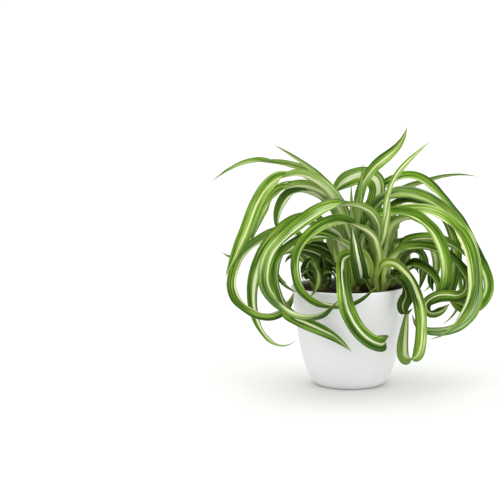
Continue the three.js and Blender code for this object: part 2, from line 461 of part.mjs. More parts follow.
// The soil fills the pot up to a crumbly top.
function soilGeometry() {
  const side = innerOutline(FIT_GAP).filter((p) => p.y < SOIL_LEVEL - 6);
  const wallAt = RIM_RADIUS - WALL - FIT_GAP - 1.6;
  const rings = [0.84, 0.66, 0.48, 0.3, 0.14];
  const top = [new THREE.Vector2(wallAt, SOIL_LEVEL - 1.5), ...rings.map((k) => new THREE.Vector2(wallAt * k, SOIL_LEVEL))];
  const outline = [new THREE.Vector2(0, side[0].y), ...side, ...top, new THREE.Vector2(0, SOIL_LEVEL)];
  const geometry = lathe(outline, 40);
  const p = geometry.attributes.position;
  for (let i = 0; i < p.count; i++) {
    const r = Math.hypot(p.getX(i), p.getY(i));
    if (p.getZ(i) < SOIL_LEVEL - 0.1 || r < 1) continue;
    const crumbs = Math.sin(p.getX(i) * 0.9) * Math.cos(p.getY(i) * 1.1) + Math.sin((p.getX(i) + p.getY(i)) * 0.47);
    p.setZ(i, SOIL_LEVEL + 0.7 * crumbs);
  }
  return geometry;
}

// ---- bending crossing leaves clear of each other ----------------------------------------------------------------
const CLEARING = {
  rounds: 70,
  margin: 0.35, // kept free round each leaf, so that two leaves stay twice this apart
  spread: 16, // how far along the leaf a push reaches
  rootZone: 55, // nearer its root than this, a leaf is pushed sideways and not in depth
  most: 2.4, // the largest push of one round
  farthest: 15, // no section ends up farther than this from where it was drawn
};

// Every place where two solids meet: its middle and its size.
function meetings(a, b) {
  const found = [];
  const common = a.intersect(b);
  if (!common.isEmpty()) {
    for (const piece of common.decompose()) {
      const box = piece.boundingBox();
      const low = vec(...box.min);
      const high = vec(...box.max);
      found.push({ middle: low.clone().add(high).multiplyScalar(0.5), size: high.sub(low) });
      piece.delete();
    }
  }
  common.delete();
  return found;
}

function apart(a, b) {
  const p = a.boundingBox();
  const q = b.boundingBox();
  return [0, 1, 2].some((i) => p.min[i] > q.max[i] || q.min[i] > p.max[i]);
}

function nearest(stations, point, from = 0, to = stations.length - 1) {
  let best = from;
  for (let i = from; i <= to; i++) {
    if (stations[i].middle.distanceTo(point) < stations[best].middle.distanceTo(point)) best = i;
  }
  return stations[best];
}

function push(stations, at, by) {
  for (const station of stations) {
    const held = smooth(station.arc / 16);
    const share = held * Math.exp(-(((station.arc - at.arc) / CLEARING.spread) ** 2) / 2);
    station.push.addScaledVector(by, share);
  }
}

// Two crossing stretches move apart, in the order of depth in which they were drawn.
function pushApart(a, b, atA, atB, size) {
  const nearRoot = Math.min(atA.arc, atB.arc) < CLEARING.rootZone;
  let way = vec(0, 1, 0);
  if (nearRoot) {
    way = atA.drawn.clone().sub(atB.drawn).setZ(0);
    if (way.length() < 0.2) way.set(0, 1, 0);
    way.normalize();
  } else if (atA.drawn.y < atB.drawn.y) way.negate();
  const reach = Math.abs(way.x) * size.x + Math.abs(way.y) * size.y;
  const by = THREE.MathUtils.clamp(reach * 0.6, 0.25, CLEARING.most);
  push(a, atA, way.clone().multiplyScalar(by));
  push(b, atB, way.multiplyScalar(-by));
}

function pushOff(stations, at, way, size) {
  const reach = Math.abs(way.x) * size.x + Math.abs(way.y) * size.y + Math.abs(way.z) * size.z;
  push(stations, at, way.clone().multiplyScalar(THREE.MathUtils.clamp(reach, 0.4, CLEARING.most)));
}

function bendSelf(leaf) {
  const { stations } = leaf;
  const stretch = 4;
  const parts = [];
  for (let i = 0; i + stretch < stations.length; i += stretch) {
    const to = Math.min(i + stretch, stations.length - 1);
    parts.push({ from: i, to, solid: solidOf(bladeGeometry(leaf, CLEARING.margin, i, to)) });
  }
  let count = 0;
  for (let i = 0; i < parts.length; i++) {
    for (let j = i + 2; j < parts.length; j++) {
      if (apart(parts[i].solid, parts[j].solid)) continue;
      for (const { middle, size } of meetings(parts[i].solid, parts[j].solid)) {
        const atA = nearest(stations, middle, parts[i].from, parts[i].to);
        const atB = nearest(stations, middle, parts[j].from, parts[j].to);
        pushApart(stations, stations, atA, atB, size);
        count++;
      }
    }
  }
  for (const part of parts) part.solid.delete();
  return count;
}

function bendClear(leaves, pot, crowns) {
  for (let round = 0; round < CLEARING.rounds; round++) {
    let count = 0;
    const solids = leaves.map((leaf) => {
      for (const station of leaf.stations) station.push = vec(0, 0, 0);
      return solidOf(bladeGeometry(leaf, CLEARING.margin));
    });
    for (let i = 0; i < leaves.length; i++) {
      const a = leaves[i].stations;
      for (let j = i + 1; j < leaves.length; j++) {
        if (apart(solids[i], solids[j])) continue;
        const b = leaves[j].stations;
        for (const { middle, size } of meetings(solids[i], solids[j])) {
          pushApart(a, b, nearest(a, middle), nearest(b, middle), size);
          count++;
        }
      }
      for (const { middle, size } of apart(solids[i], pot) ? [] : meetings(solids[i], pot)) {
        const outward = vec(middle.x, middle.y, 0).normalize();
        const inside = Math.hypot(middle.x, middle.y) < RIM_RADIUS - WALL / 2 && middle.z < POT_HEIGHT - 2;
        const over = middle.z > POT_HEIGHT - 2.5;
        pushOff(a, nearest(a, middle), over ? vec(0, 0, 1) : outward.multiplyScalar(inside ? -1 : 1), size);
        count++;
      }
      for (const { letter, solid, place } of crowns) {
        if (leaves[i].grownFrom === letter) continue;
        for (const { middle, size } of apart(solids[i], solid) ? [] : meetings(solids[i], solid)) {
          const at = nearest(a, middle);
          if (at.arc < 12) continue;
          pushOff(a, at, vec(middle.x - place[0], middle.y - place[1], 0).normalize(), size);
          count++;
        }
      }
      count += bendSelf(leaves[i]);
    }
    for (const solid of solids) solid.delete();
    for (const { stations } of leaves) {
      for (const { drawn, middle, push: step } of stations) {
        middle.add(step.clampLength(0, 2 * CLEARING.most));
        middle.copy(drawn.clone().add(middle.clone().sub(drawn).clampLength(0, CLEARING.farthest)));
      }
    }
    if (count === 0) break;
  }
}

// ---- the plant ------------------------------------------------------------------------------------------------
const potPaint = new THREE.MeshStandardMaterial({ color: 0xf2f2f2, roughness: 0.45, metalness: 0 });
const earth = new THREE.MeshStandardMaterial({ color: 0x1e1612, roughness: 0.95, metalness: 0 });
const rootstock = new THREE.MeshStandardMaterial({ color: 0x8a8a48, roughness: 0.7, metalness: 0 });
const leafGreen = new THREE.MeshStandardMaterial({ color: 0x5c8f2e, roughness: 0.45, metalness: 0 });

const plant = new THREE.Group();

function add(name, geometry, material) {
  const mesh = new THREE.Mesh(geometry, material);
  mesh.name = name;
  plant.add(mesh);
}

add("pot", potGeometry(), potPaint);

let soil = solidOf(soilGeometry());
for (const place of Object.values(CROWNS)) soil = soil.subtract(solidOf(crownHole(place)));
add("soil", geometryOf(soil), earth);

const crowns = Object.entries(CROWNS).map(([letter, place]) => {
  const geometry = crownGeometry(place);
  return { letter, place, solid: solidOf(geometry) };
});

const leaves = LEAVES.map(([name, crown, ring, bearing, width, taper, route]) => {
  const stations = stationsOf(rootOf(crown, ring, bearing), handRoute(route));
  return { name: "leaf_" + name, size: { width, taper }, stations };
});
BACK_LEAVES.forEach(([crown, ring, bearing, travel, reach, height, turn], i) => {
  const stations = stationsOf(rootOf(crown, ring, bearing), archRoute(crown, travel, reach, height, turn));
  const size = { width: BACK_WIDTH, taper: BACK_TAPER };
  leaves.push({ name: "leaf_back_" + String(i + 1).padStart(2, "0"), size, stations });
});
for (const [crown, ring, bearing, width, route] of INNER_LEAVES) {
  const stations = stationsOf(rootOf(crown, ring, bearing, INNER_LIFT), handRoute(route));
  leaves.push({ grownFrom: crown, size: { width, taper: INNER_TAPER }, stations });
}
bendClear(leaves, solidOf(potGeometry()), crowns);
for (const { letter, solid } of crowns) {
  const inner = leaves.filter(({ grownFrom }) => grownFrom === letter).map((leaf) => solidOf(bladeGeometry(leaf)));
  add("crown_" + letter.toLowerCase(), geometryOf(wasm.Manifold.union([solid, ...inner])), rootstock);
}
for (const leaf of leaves) if (!leaf.grownFrom) add(leaf.name, bladeGeometry(leaf), leafGreen);

export default plant;
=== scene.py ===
"""A curly spider plant in a plain white pot: fine blades, crowns, soil and pot, dressed over the fixed frame."""

import math
import random

import bmesh
import bpy
import numpy as np
from mathutils import Matrix, Vector, noise


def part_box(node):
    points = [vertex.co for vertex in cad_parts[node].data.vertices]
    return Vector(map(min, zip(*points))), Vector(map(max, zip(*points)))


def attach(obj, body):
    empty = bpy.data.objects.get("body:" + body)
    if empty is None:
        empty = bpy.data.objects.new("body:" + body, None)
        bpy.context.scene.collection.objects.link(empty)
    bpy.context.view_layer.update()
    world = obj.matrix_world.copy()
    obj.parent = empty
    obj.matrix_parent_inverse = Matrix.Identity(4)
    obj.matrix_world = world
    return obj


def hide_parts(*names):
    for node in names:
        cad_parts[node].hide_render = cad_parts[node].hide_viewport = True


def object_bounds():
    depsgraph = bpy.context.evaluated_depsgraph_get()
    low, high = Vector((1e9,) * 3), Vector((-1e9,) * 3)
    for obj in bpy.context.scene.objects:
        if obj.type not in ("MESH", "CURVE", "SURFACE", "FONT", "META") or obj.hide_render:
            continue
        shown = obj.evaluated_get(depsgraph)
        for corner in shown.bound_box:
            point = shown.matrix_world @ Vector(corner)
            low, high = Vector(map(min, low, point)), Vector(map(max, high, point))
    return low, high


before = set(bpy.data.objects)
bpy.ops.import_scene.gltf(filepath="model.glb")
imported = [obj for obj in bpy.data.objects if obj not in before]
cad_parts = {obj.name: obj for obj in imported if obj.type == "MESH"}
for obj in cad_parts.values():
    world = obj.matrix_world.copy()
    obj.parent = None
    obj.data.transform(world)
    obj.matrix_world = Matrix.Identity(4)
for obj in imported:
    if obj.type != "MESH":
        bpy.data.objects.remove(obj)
CAD_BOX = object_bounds()
MM = 0.001

# ---- sizes, in metres ----------------------------------------------------------------------------------------
POT_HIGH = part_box("pot")[1]
POT_HEIGHT = POT_HIGH.z
RIM_RADIUS = POT_HIGH.x
LIP_RADIUS = 1.6 * MM
LIP_STEPS = 12
WALL = 4 * MM
FLOOR_THICKNESS = 5 * MM
FOOT_RADIUS = 35 * MM
FOOT_EDGE = 2 * MM  # the foot's outermost ring
CORNER_HEIGHT = 22 * MM
CORNER_RADIUS = 50.2 * MM
CORNER_LEAN = 0.31  # how far the wall comes in towards its foot, for each unit of height
WALL_PULLS = ((54.6 * MM, 36 * MM), (59.5 * MM, 62 * MM))  # radius and height of two points that bend the wall
CORNER_STEPS, WALL_STEPS = 14, 30
POT_SIDES = 192

SOIL_LEVEL = 104 * MM
SOIL_GAP = 2.2 * MM  # between the soil and the wall
SOIL_SIDES, SOIL_RINGS = 160, 52
SOIL_LUMPS = ((1.1 * MM, 90), (0.6 * MM, 260), (0.3 * MM, 700))  # height of the lumps and how close they lie
SOIL_HEAP = 4.2 * MM  # how much higher the soil lies at the wall, and where it starts and stops rising
SOIL_HEAP_SPAN = (40 * MM, 57 * MM)
# Heights in the pot and how much narrower the soil is there, and how much narrower it is at its foot.
SOIL_FLANK = ((SOIL_LEVEL - 10 * MM, 1.5 * MM), (60 * MM, 4.6 * MM), (30 * MM, 10.5 * MM))
SOIL_FOOT = 29 * MM

CRUMB_MARGIN = 6 * MM  # the crumbs keep this far from the wall
CRUMB_LIFT = 0.1 * MM
CRUMB_CELLS = 60  # across the ground that carries the crumbs
CRUMB_DENSITY = 90000.0  # per square metre
CRUMB_SIZES = (0.5 * MM, 1.9 * MM)
CRUMB_SEED = 3
CRUMB_KNOBS = 1.5  # how far a crumb's surface strays, for a radius of 1
FULL_TURN = (6.28, 6.28, 6.28)

BLADE_THICKNESS = 0.5 * MM
BLADE_COLUMNS = 17
BLADE_STEP = 2.2 * MM
EDGE_WAVE = 0.5 * MM
KEEL_SOFTNESS = 0.012  # how softly the two halves of a blade meet in its midrib
CLASP_WIDTH = 1.7 * MM
CLASP_FOLD = 1.4 * MM
CLASP_STARTS = (2 * MM, 13 * MM)  # stretches along the blade over which its clasp comes and goes
CLASP_ENDS = (34 * MM, 78 * MM)
CLASP_FULL = 6 * MM  # leaves narrower than this to each side clasp less
PALE_FOOT = 75 * MM  # the longest pale foot of a leaf
PALE_FOOT_SHARE = 0.3  # and the most of a short leaf's length
WAVES_PER_METRE = 34.0
WAVE_GAIN = 4.0  # brings plain noise up to the height of the waves
EDGES_APART = 3.7  # sets the waves of a blade's two edges apart
EDGE_WELD = 2e-6
RIBS = 44.0  # radians of ribbing from the midrib to a margin, which makes seven ribs
SEED_STEP, SEED_START = 11.3, 0.7  # from leaf to leaf

CROWN_RADIUS = 10.5 * MM
CROWN_RISE = 10 * MM
CROWN_DEPTH = 22 * MM
CROWN_FIT = 0.96  # leaves room for its wrinkles
CROWN_POINT = 0.12  # how wide its foot is, as a share of the radius
CROWN_TAPER = 0.93  # how far its top closes
WRINKLE_DEPTH, SCALE_DEPTH = 0.05, 0.03  # as shares of the radius
CROWN_SIDES, CROWN_ROWS = 72, 40
CROWNS = {"a": (31, -14), "b": (3, -2), "c": (-33, 12), "d": (42, 20), "e": (16, 22)}  # in millimetres

SHEATHS = 7  # round each crown
SHEATH_DRAWS = 8  # starts the random draws
SHEATH_STRAY = 0.3  # how far a sheath strays from its even place, as a share of the way to the next
SHEATH_STEPS = 6
SHEATH_ROWS, SHEATH_COLUMNS = 12, 9
SHEATH_RING = 8.6 * MM
SHEATH_START, SHEATH_LEAN = 0.05, 0.42  # how far it stands off and leans out, as shares of its height
SHEATH_HEIGHTS = (7, 17)  # in millimetres
SHEATH_HALVES = (3.8, 4.4)  # half widths, in millimetres
SHEATH_FOLD = 1.9 * MM
SHEATH_WAVE = 0.3 * MM
SHEATH_PALE_FOOT = 40 * MM

INNER_RING = 7.5  # in millimetres; the inner leaves' feet stand on it
INNER_HALF = 2.4 * MM
INNER_FOLD = 0.8 * MM
INNER_PALE_FOOT = 12 * MM

SECTION_POINTS = 6  # in each cross-section of a CAD leaf
FEWEST_SECTIONS = 5
SAME_POINT = 1e-6

# ---- the eye that the picture is taken from, and the lights --------------------------------------------------
EYE = Vector((0.0, -1.4, 0.317))
EYE_DOWN = 6.76  # degrees
EYE_LEFT = 4.52
EYE_ROLL = -0.67
EYE_LENS = 90.86  # millimetres
EYE_SENSOR = 36.0
ROOM_LIGHT = 0.60
ROOM_SEEN = 1.05  # how bright the room looks behind the plant
SUNS = (  # direction, strength and spread in degrees
    ("overhead", (0.0, -0.36, -1.0), 2.1, 75),
    ("front left", (0.9, 0.65, -0.5), 1.05, 60),
    ("front right", (-0.9, 0.65, -0.5), 1.3, 60),
)
STAGE_HALF = 60.0  # metres

# ---- looks ---------------------------------------------------------------------------------------------------
# How each leaf differs: tone (0 deep green, 1 bright yellow-green), stripe width (1 is a twelfth of the blade,
# with soft edges), cream (0 beige stripe, 1 near white), painted sheen (how much blue-green sheen is painted on,
# standing in for reflected light) and shift (how far the stripe lies off the midrib, in half widths). The leaves
# of the far side share one look, and so do the short ones.
LOOKS = {
    "leaf_left_reaching_arch": (0.60, 0.5, 0.3, 0.2, 0.2),
    "leaf_left_straight": (0.60, 0.7, 0.5, 0.3, 0.1),
    "leaf_left_upper_arch": (0.50, 0.9, 0.4, 0.2, -0.25),
    "leaf_left_striped_arch": (0.60, 1.2, 0.6, 0.4, 0.0),
    "leaf_left_hooked_tip": (0.55, 1.1, 0.4, 0.4, -0.2),
    "leaf_left_back_hook": (0.6, 2.0, 0.9, 0.3, -0.5),
    "leaf_left_long_fall": (0.55, 2.3, 1.3, 0.1, -0.2),
    "leaf_left_round_loop": (0.40, 1.7, 0.7, 0.6, -0.55),
    "leaf_low_left_sweep": (0.36, 0.9, 0.8, 0.3, -0.2),
    "leaf_big_front_loop": (0.50, 0.9, 0.7, 0.8, -0.42),
    "leaf_round_front_loop": (0.28, 0.8, 0.6, 0.1, -0.5),
    "leaf_front_hanging": (0.12, 0.9, 0.9, 0.2, 0.0),
    "leaf_left_rim_tip": (0.30, 0.8, 0.4, 0.2, -0.2),
    "leaf_upright_striped": (-0.05, 1.7, 1.2, 0.8, 0.05),
    "leaf_top_leaf": (0.74, 1.2, 0.7, 0.0, 0.15),
    "leaf_second_top_leaf": (0.78, 1.9, 0.9, 0.3, -0.1),
    "leaf_top_arch": (0.60, 2.2, 0.9, 0.3, 0.1),
    "leaf_thin_spear": (0.66, 0.8, 0.4, 0.6, 0.0),
    "leaf_short_spear": (0.66, 0.8, 0.4, 0.6, 0.0),
    "leaf_pale_spear": (0.75, 1.8, 0.6, 0.5, 0.1),
    "leaf_right_outer_arch": (0.44, 1.2, 0.35, 0.2, 0.3),
    "leaf_right_reaching": (0.35, 0.6, 0.3, 0.6, 0.0),
    "leaf_right_wide_arch": (0.55, 0.5, 0.0, 1.2, 0.1),
    "leaf_right_inner_fall": (0.32, 1.6, 0.3, 0.3, 0.3),
    "leaf_right_bright_arch": (0.50, 2.8, 0.55, 0.5, 0.6),
    "leaf_right_hoop": (0.38, 1.0, 0.6, 0.1, 0.25),
    "leaf_right_pale_arch": (0.75, 0.8, 0.2, 0.3, 0.3),
    "leaf_right_mid_upper": (0.55, 1.4, 0.6, 0.7, 0.1),
    "leaf_right_mid_lower": (0.05, 0.8, 0.8, 0.1, 0.3),
    "leaf_front_right_fold": (0.14, 1.5, 0.5, 0.0, -0.35),
    "leaf_rim_knot": (-0.35, 0.25, 0.0, 0.0, 0.2),
    "leaf_right_small_tip": (0.35, 0.6, 0.4, 0.3, 0.0),
    "leaf_right_low_arch": (0.30, 1.5, 0.7, 0.2, 0.3),
    "leaf_right_dark_bend": (-0.2, 0.6, 0.5, 0.6, 0.0),
    "leaf_right_far_curl": (-0.15, 0.6, 0.4, 0.3, 0.0),
    "leaf_rim_low_curl": (0.0, 0.9, 0.7, 0.2, 0.2),
    "leaf_inner_small_coil": (0.05, 1.6, 1.1, 0.3, 0.2),
    "leaf_inner_wide_dark": (-0.15, 0.9, 0.6, 0.6, -0.1),
    "leaf_inner_back_dark": (-0.15, 0.6, 0.5, 0.3, 0.0),
    "leaf_dark_oval": (-0.18, 0.9, 0.6, 0.9, 0.1),
    "leaf_rim_thin_hook": (-0.05, 0.9, 0.7, 0.4, 0.0),
    "leaf_dark_blade": (-0.2, 0.8, 0.5, 0.7, 0.0),
    "leaf_low_dark_curl": (-0.2, 0.8, 0.6, 0.6, 0.0),
}
BACK_LOOK = (0.45, 1.0, 0.5, 0.3, 0.1)
INNER_LOOK = (-0.02, 0.8, 0.6, 0.7, 0.0)
SHEATH_LOOK = (0.5, 0.4, 0.2, 0.0, 0.0)
LOOK_NAMES = ("Tone", "Stripe", "Cream", "Painted_sheen", "Shift")

# The streaks of a leaf: how fine they run across it (per half width) and along it (per metre), an offset that
# sets them apart from the others, and how much fine detail they have.
STREAKS = {
    "drift": (0.0, 26.0, 0.0, 2.0),
    "broad": (1.3, 10.0, 4.0, 2.0),
    "grain": (3.4, 11.0, 9.0, 3.0),
    "fine": (11.0, 20.0, 2.0, 2.0),
    "patch": (0.35, 17.0, 50.0, 2.0),
    "light": (4.6, 7.0, 21.0, 2.0),
    "dark": (5.6, 8.0, 33.0, 2.0),
    # the pattern of the painted sheen, which stands in for reflected light
    "sheen": (2.2, 9.0, 15.0, 2.0),
}
GREENS = ((0.024, 0.060, 0.004), (0.066, 0.148, 0.007), (0.142, 0.280, 0.014), (0.275, 0.435, 0.055),
          (0.520, 0.660, 0.260))
# Painted sheen on the leaves, from dark to pale blue-green, standing in for reflected light.
SHEENS = ((0.045, 0.105, 0.035), (0.50, 0.64, 0.42))
CREAMS = ((0.44, 0.51, 0.16), (0.68, 0.72, 0.35), (0.92, 0.94, 0.70))
PALE_GREENS = ((0.26, 0.45, 0.03), (0.52, 0.69, 0.10), (0.82, 0.88, 0.42))


# ---- small helpers for node trees ----------------------------------------------------------------------------
class Tree:
    """Adds nodes to a node tree and wires them: values are numbers, tuples or other nodes' sockets."""

    def __init__(self, tree):
        self.tree = tree

    def add(self, kind, inputs=None, **settings):
        node = self.tree.nodes.new(kind)
        for key, value in settings.items():
            setattr(node, key, value)
        for key, value in (inputs or {}).items():
            self.feed(node.inputs[key], value)
        return node

    def feed(self, socket, value):
        if isinstance(value, bpy.types.NodeSocket):
            self.tree.links.new(value, socket)
        else:
            socket.default_value = value

    def maths(self, operation, *values):
        node = self.add("ShaderNodeMath", operation=operation)
        for socket, value in zip(node.inputs, values):
            self.feed(socket, value)
        return node.outputs[0]

    def vectors(self, operation, *values):
        node = self.add("ShaderNodeVectorMath", operation=operation)
        sockets = [s for s in node.inputs if s.enabled]
        if operation == "SCALE":
            sockets = [node.inputs["Vector"], node.inputs["Scale"]]
        for socket, value in zip(sockets, values):
            self.feed(socket, value)
        return node.outputs["Value" if operation == "DOT_PRODUCT" else "Vector"]

    def smooth(self, value, low, high, to_low=0.0, to_high=1.0):
        """Runs softly from to_low to to_high while the value goes from low to high."""
        node = self.add("ShaderNodeMapRange", interpolation_type="SMOOTHSTEP")
        for socket, number in zip(node.inputs, (value, low, high, to_low, to_high)):
            self.feed(socket, number)
        return node.outputs[0]

    def weighted(self, start, *terms):
        """start + the sum of value * weight over the (value, weight) terms."""
        total = start
        for value, weight in terms:
            inputs = {0: value, 1: weight, 2: total}
            total = self.add("ShaderNodeMath", inputs, operation="MULTIPLY_ADD").outputs[0]
        return total

    def deliver(self, label, geometry, material):
        """Ends the tree: plain geometry in its material goes out."""
        plain = self.add("GeometryNodeRealizeInstances", {"Geometry": geometry}).outputs[0]
        dressed = self.add("GeometryNodeSetMaterial", {"Geometry": plain, "Material": material}).outputs[0]
        self.add("NodeGroupOutput", {label: dressed})


def geometry_tree(name, given, result):
    """An empty tree for meshes: its inputs as (label, kind, start value) and the label of its output."""
    group = bpy.data.node_groups.new(name, "GeometryNodeTree")
    for label, kind, start in given:
        socket = group.interface.new_socket(label, in_out="INPUT", socket_type="NodeSocket" + kind)
        if start is not None:
            socket.default_value = start
    group.interface.new_socket(result, in_out="OUTPUT", socket_type="NodeSocketGeometry")
    return group


# ---- small helpers for meshes --------------------------------------------------------------------------------
def ring_of(shape, radius, sides, height_at):
    """A ring of new points round the axis; height_at gives the height over x and y."""
    angles = [math.tau * k / sides for k in range(sides)]
    spots = [(radius * math.cos(a), radius * math.sin(a)) for a in angles]
    return [shape.verts.new((x, y, height_at(x, y))) for x, y in spots]


def walled(shape, rings, sides):
    """Faces from each ring to the next; a ring on the axis may be a single point."""
    for low, high in zip(rings, rings[1:]):
        for k in range(sides):
            n = (k + 1) % sides
            corners = [low[k % len(low)], low[n % len(low)], high[n % len(high)], high[k % len(high)]]
            shape.faces.new(list(dict.fromkeys(corners)))


def smoothed(shape):
    for face in shape.faces:
        face.smooth = True


def mesh_of(shape, name, *materials):
    """Turns a finished bmesh into a mesh and frees it."""
    mesh = bpy.data.meshes.new(name)
    shape.to_mesh(mesh)
    shape.free()
    for material in materials:
        mesh.materials.append(material)
    return mesh


def joined(name, meshes):
    """One mesh out of several that share their materials."""
    shape = bmesh.new()
    for mesh in meshes:
        shape.from_mesh(mesh)
    return mesh_of(shape, name, *meshes[0].materials)


def linked(name, data):
    made = bpy.data.objects.new(name, data)
    bpy.context.scene.collection.objects.link(made)
    return made


def grown(tree, source, **inputs):
    """The plain mesh that a tree makes of a mesh. Inputs are set by their sockets' identifiers."""
    holder = linked("holder", source)
    modifier = holder.modifiers.new("growth", "NODES")
    modifier.node_group = tree
    identifiers = {item.name: item.identifier for item in tree.interface.items_tree if item.in_out == "INPUT"}
    for name, value in inputs.items():
        modifier[identifiers[name]] = value
    evaluated = holder.evaluated_get(bpy.context.evaluated_depsgraph_get())
    mesh = bpy.data.meshes.new_from_object(evaluated)
    bpy.data.objects.remove(holder)
    return mesh


def piece(name, mesh, slot, *nodes):
    """A finished piece: it rides on the plant's one body and stands for its nodes."""
    made = linked(name, mesh)
    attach(made, "root")
    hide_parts(*nodes)


def eased(value, low, high):
    """Runs softly from 0 to 1 while the value goes from low to high."""
    q = min(1.0, max(0.0, (value - low) / (high - low)))
    return q * q * (3 - 2 * q)


def length_of(points):
    return sum((b - a).length for a, b in zip(points, points[1:]))


# ---- the blade, as a tree that follows a midrib --------------------------------------------------------------
def blade_tree():
    """A thin closed blade along a midrib whose points hold the attributes up, half and rise."""
    # A leaf's look includes the strength of its painted sheen, which stands in for reflected light.
    numbers = {"Length": 0.1, "Thickness": BLADE_THICKNESS, "Wave": EDGE_WAVE, "Seed": 0.0, "Tone": 0.5,
               "Stripe": 1.0, "Cream": 0.5, "Painted_sheen": 0.0, "Shift": 0.0, "Sheath": PALE_FOOT}
    group = geometry_tree("blade along its midrib", [
        ("Midrib", "Geometry", None), ("Rows", "Int", 60), ("Columns", "Int", BLADE_COLUMNS),
        *((name, "Float", value) for name, value in numbers.items()), ("Finish", "Material", None)], "Blade")
    t = Tree(group)
    given = t.add("NodeGroupInput").outputs
    curve = t.add("GeometryNodeMeshToCurve", {"Mesh": given["Midrib"]}).outputs[0]
    curve = t.add("GeometryNodeCurveSplineType", {"Curve": curve}, spline_type="CATMULL_ROM").outputs[0]
    curve = t.add("GeometryNodeSetSplineResolution", {"Geometry": curve, "Resolution": 10}).outputs[0]

    # A flat sheet: across runs from -1 to 1 over its width, and along from 0 to 1 over its length.
    grid = t.add("GeometryNodeMeshGrid", {"Size X": 2.0, "Size Y": 1.0, "Vertices X": given["Columns"],
                                          "Vertices Y": given["Rows"]})
    sheet = t.add("GeometryNodeStoreNamedAttribute", {"Geometry": grid.outputs["Mesh"], "Name": "UVMap",
                                                      "Value": grid.outputs["UV Map"]},
                  data_type="FLOAT2", domain="CORNER").outputs[0]
    place = t.add("ShaderNodeSeparateXYZ", {"Vector": t.add("GeometryNodeInputPosition").outputs[0]}).outputs
    across = place["X"]
    along = t.maths("ADD", place["Y"], 0.5)

    def sampled(name, kind):
        held = t.add("GeometryNodeInputNamedAttribute", {"Name": name}, data_type=kind).outputs["Attribute"]
        node = t.add("GeometryNodeSampleCurve", {"Curves": curve, "Factor": along}, data_type=kind,
                     mode="FACTOR")
        t.feed(next(s for s in node.inputs if s.name == "Value" and s.enabled), held)
        return node.outputs

    at_up = sampled("up", "FLOAT_VECTOR")
    half = t.maths("MAXIMUM", sampled("half", "FLOAT")["Value"], 0.0)
    rise = t.maths("MAXIMUM", sampled("rise", "FLOAT")["Value"], 0.0)
    tangent, raw_up = at_up["Tangent"], at_up["Value"]
    lean = t.vectors("SCALE", tangent, t.vectors("DOT_PRODUCT", raw_up, tangent))
    up = t.vectors("NORMALIZE", t.vectors("SUBTRACT", raw_up, lean))
    side = t.vectors("CROSS_PRODUCT", tangent, up)

    # The edges rise over the midrib in a soft V.
    squared = t.maths("MULTIPLY", across, across)
    low = math.sqrt(KEEL_SOFTNESS)
    rounded = t.maths("SUBTRACT", t.maths("SQRT", t.maths("ADD", squared, KEEL_SOFTNESS)), low)
    lift = t.maths("MULTIPLY", rise, t.maths("DIVIDE", rounded, math.sqrt(1 + KEEL_SOFTNESS) - low))

    # Each edge waves in its own way, but not at the foot and not where the blade is narrow.
    reach = t.maths("MULTIPLY", along, given["Length"])
    ripple_at = t.maths("ADD", t.maths("MULTIPLY", reach, WAVES_PER_METRE), given["Seed"])
    ripple_at = t.maths("ADD", ripple_at, t.maths("MULTIPLY", t.maths("SIGN", across), EDGES_APART))
    ripple = t.add("ShaderNodeTexNoise", {"W": ripple_at, "Scale": 1.0, "Detail": 1.0},
                   noise_dimensions="1D").outputs[0]
    tallest = t.maths("MULTIPLY", given["Wave"], WAVE_GAIN)
    ripple = t.maths("MULTIPLY", t.maths("SUBTRACT", ripple, 0.5), tallest)
    ripple = t.maths("MULTIPLY", ripple, t.maths("MULTIPLY", squared, t.smooth(half, 0.0, 4 * MM)))
    lift = t.maths("ADD", lift, t.maths("MULTIPLY", ripple, t.smooth(along, 0.05, 0.3)))

    # It thins out to its edges and its ends.
    ends = t.maths("MULTIPLY", t.smooth(along, 0.0, 0.03), t.smooth(along, 1.0, 0.9))
    fourth = t.maths("MULTIPLY", squared, squared)
    bulge = t.maths("SQRT", t.maths("MAXIMUM", t.maths("SUBTRACT", 1.0, fourth), 0.0))
    thick = t.maths("MULTIPLY", t.maths("MULTIPLY", bulge, ends), given["Thickness"])

    def placed(height):
        """The sheet laid along the midrib at a height over it, held inside the CAD's box."""
        sideways = t.vectors("SCALE", side, t.maths("MULTIPLY", across, half))
        spot = t.vectors("ADD", at_up["Position"], sideways)
        spot = t.vectors("ADD", spot, t.vectors("SCALE", up, height))
        spot = t.vectors("MAXIMUM", t.vectors("MINIMUM", spot, tuple(CAD_BOX[1])), tuple(CAD_BOX[0]))
        return t.add("GeometryNodeSetPosition", {"Geometry": sheet, "Position": spot}).outputs[0]

    def marked(geometry, name, value, domain="POINT"):
        return t.add("GeometryNodeStoreNamedAttribute", {"Geometry": geometry, "Name": name, "Value": value},
                     data_type="FLOAT", domain=domain).outputs[0]

    upper = marked(placed(lift), "under", 0.0, "FACE")
    lower = t.add("GeometryNodeFlipFaces", {"Mesh": placed(t.maths("SUBTRACT", lift, thick))}).outputs[0]
    lower = marked(lower, "under", 1.0, "FACE")
    both = t.add("GeometryNodeJoinGeometry")
    t.feed(both.inputs[0], upper)
    t.feed(both.inputs[0], lower)
    blade = both.outputs[0]
    for name in (*LOOK_NAMES, "Sheath", "Seed", "Length"):
        blade = marked(blade, name.lower(), given[name])
    blade = t.add("GeometryNodeMergeByDistance", {"Geometry": blade, "Distance": EDGE_WELD}).outputs[0]
    blade = t.add("GeometryNodeSetShadeSmooth", {"Geometry": blade}).outputs[0]
    t.deliver("Blade", blade, given["Finish"])
    return group


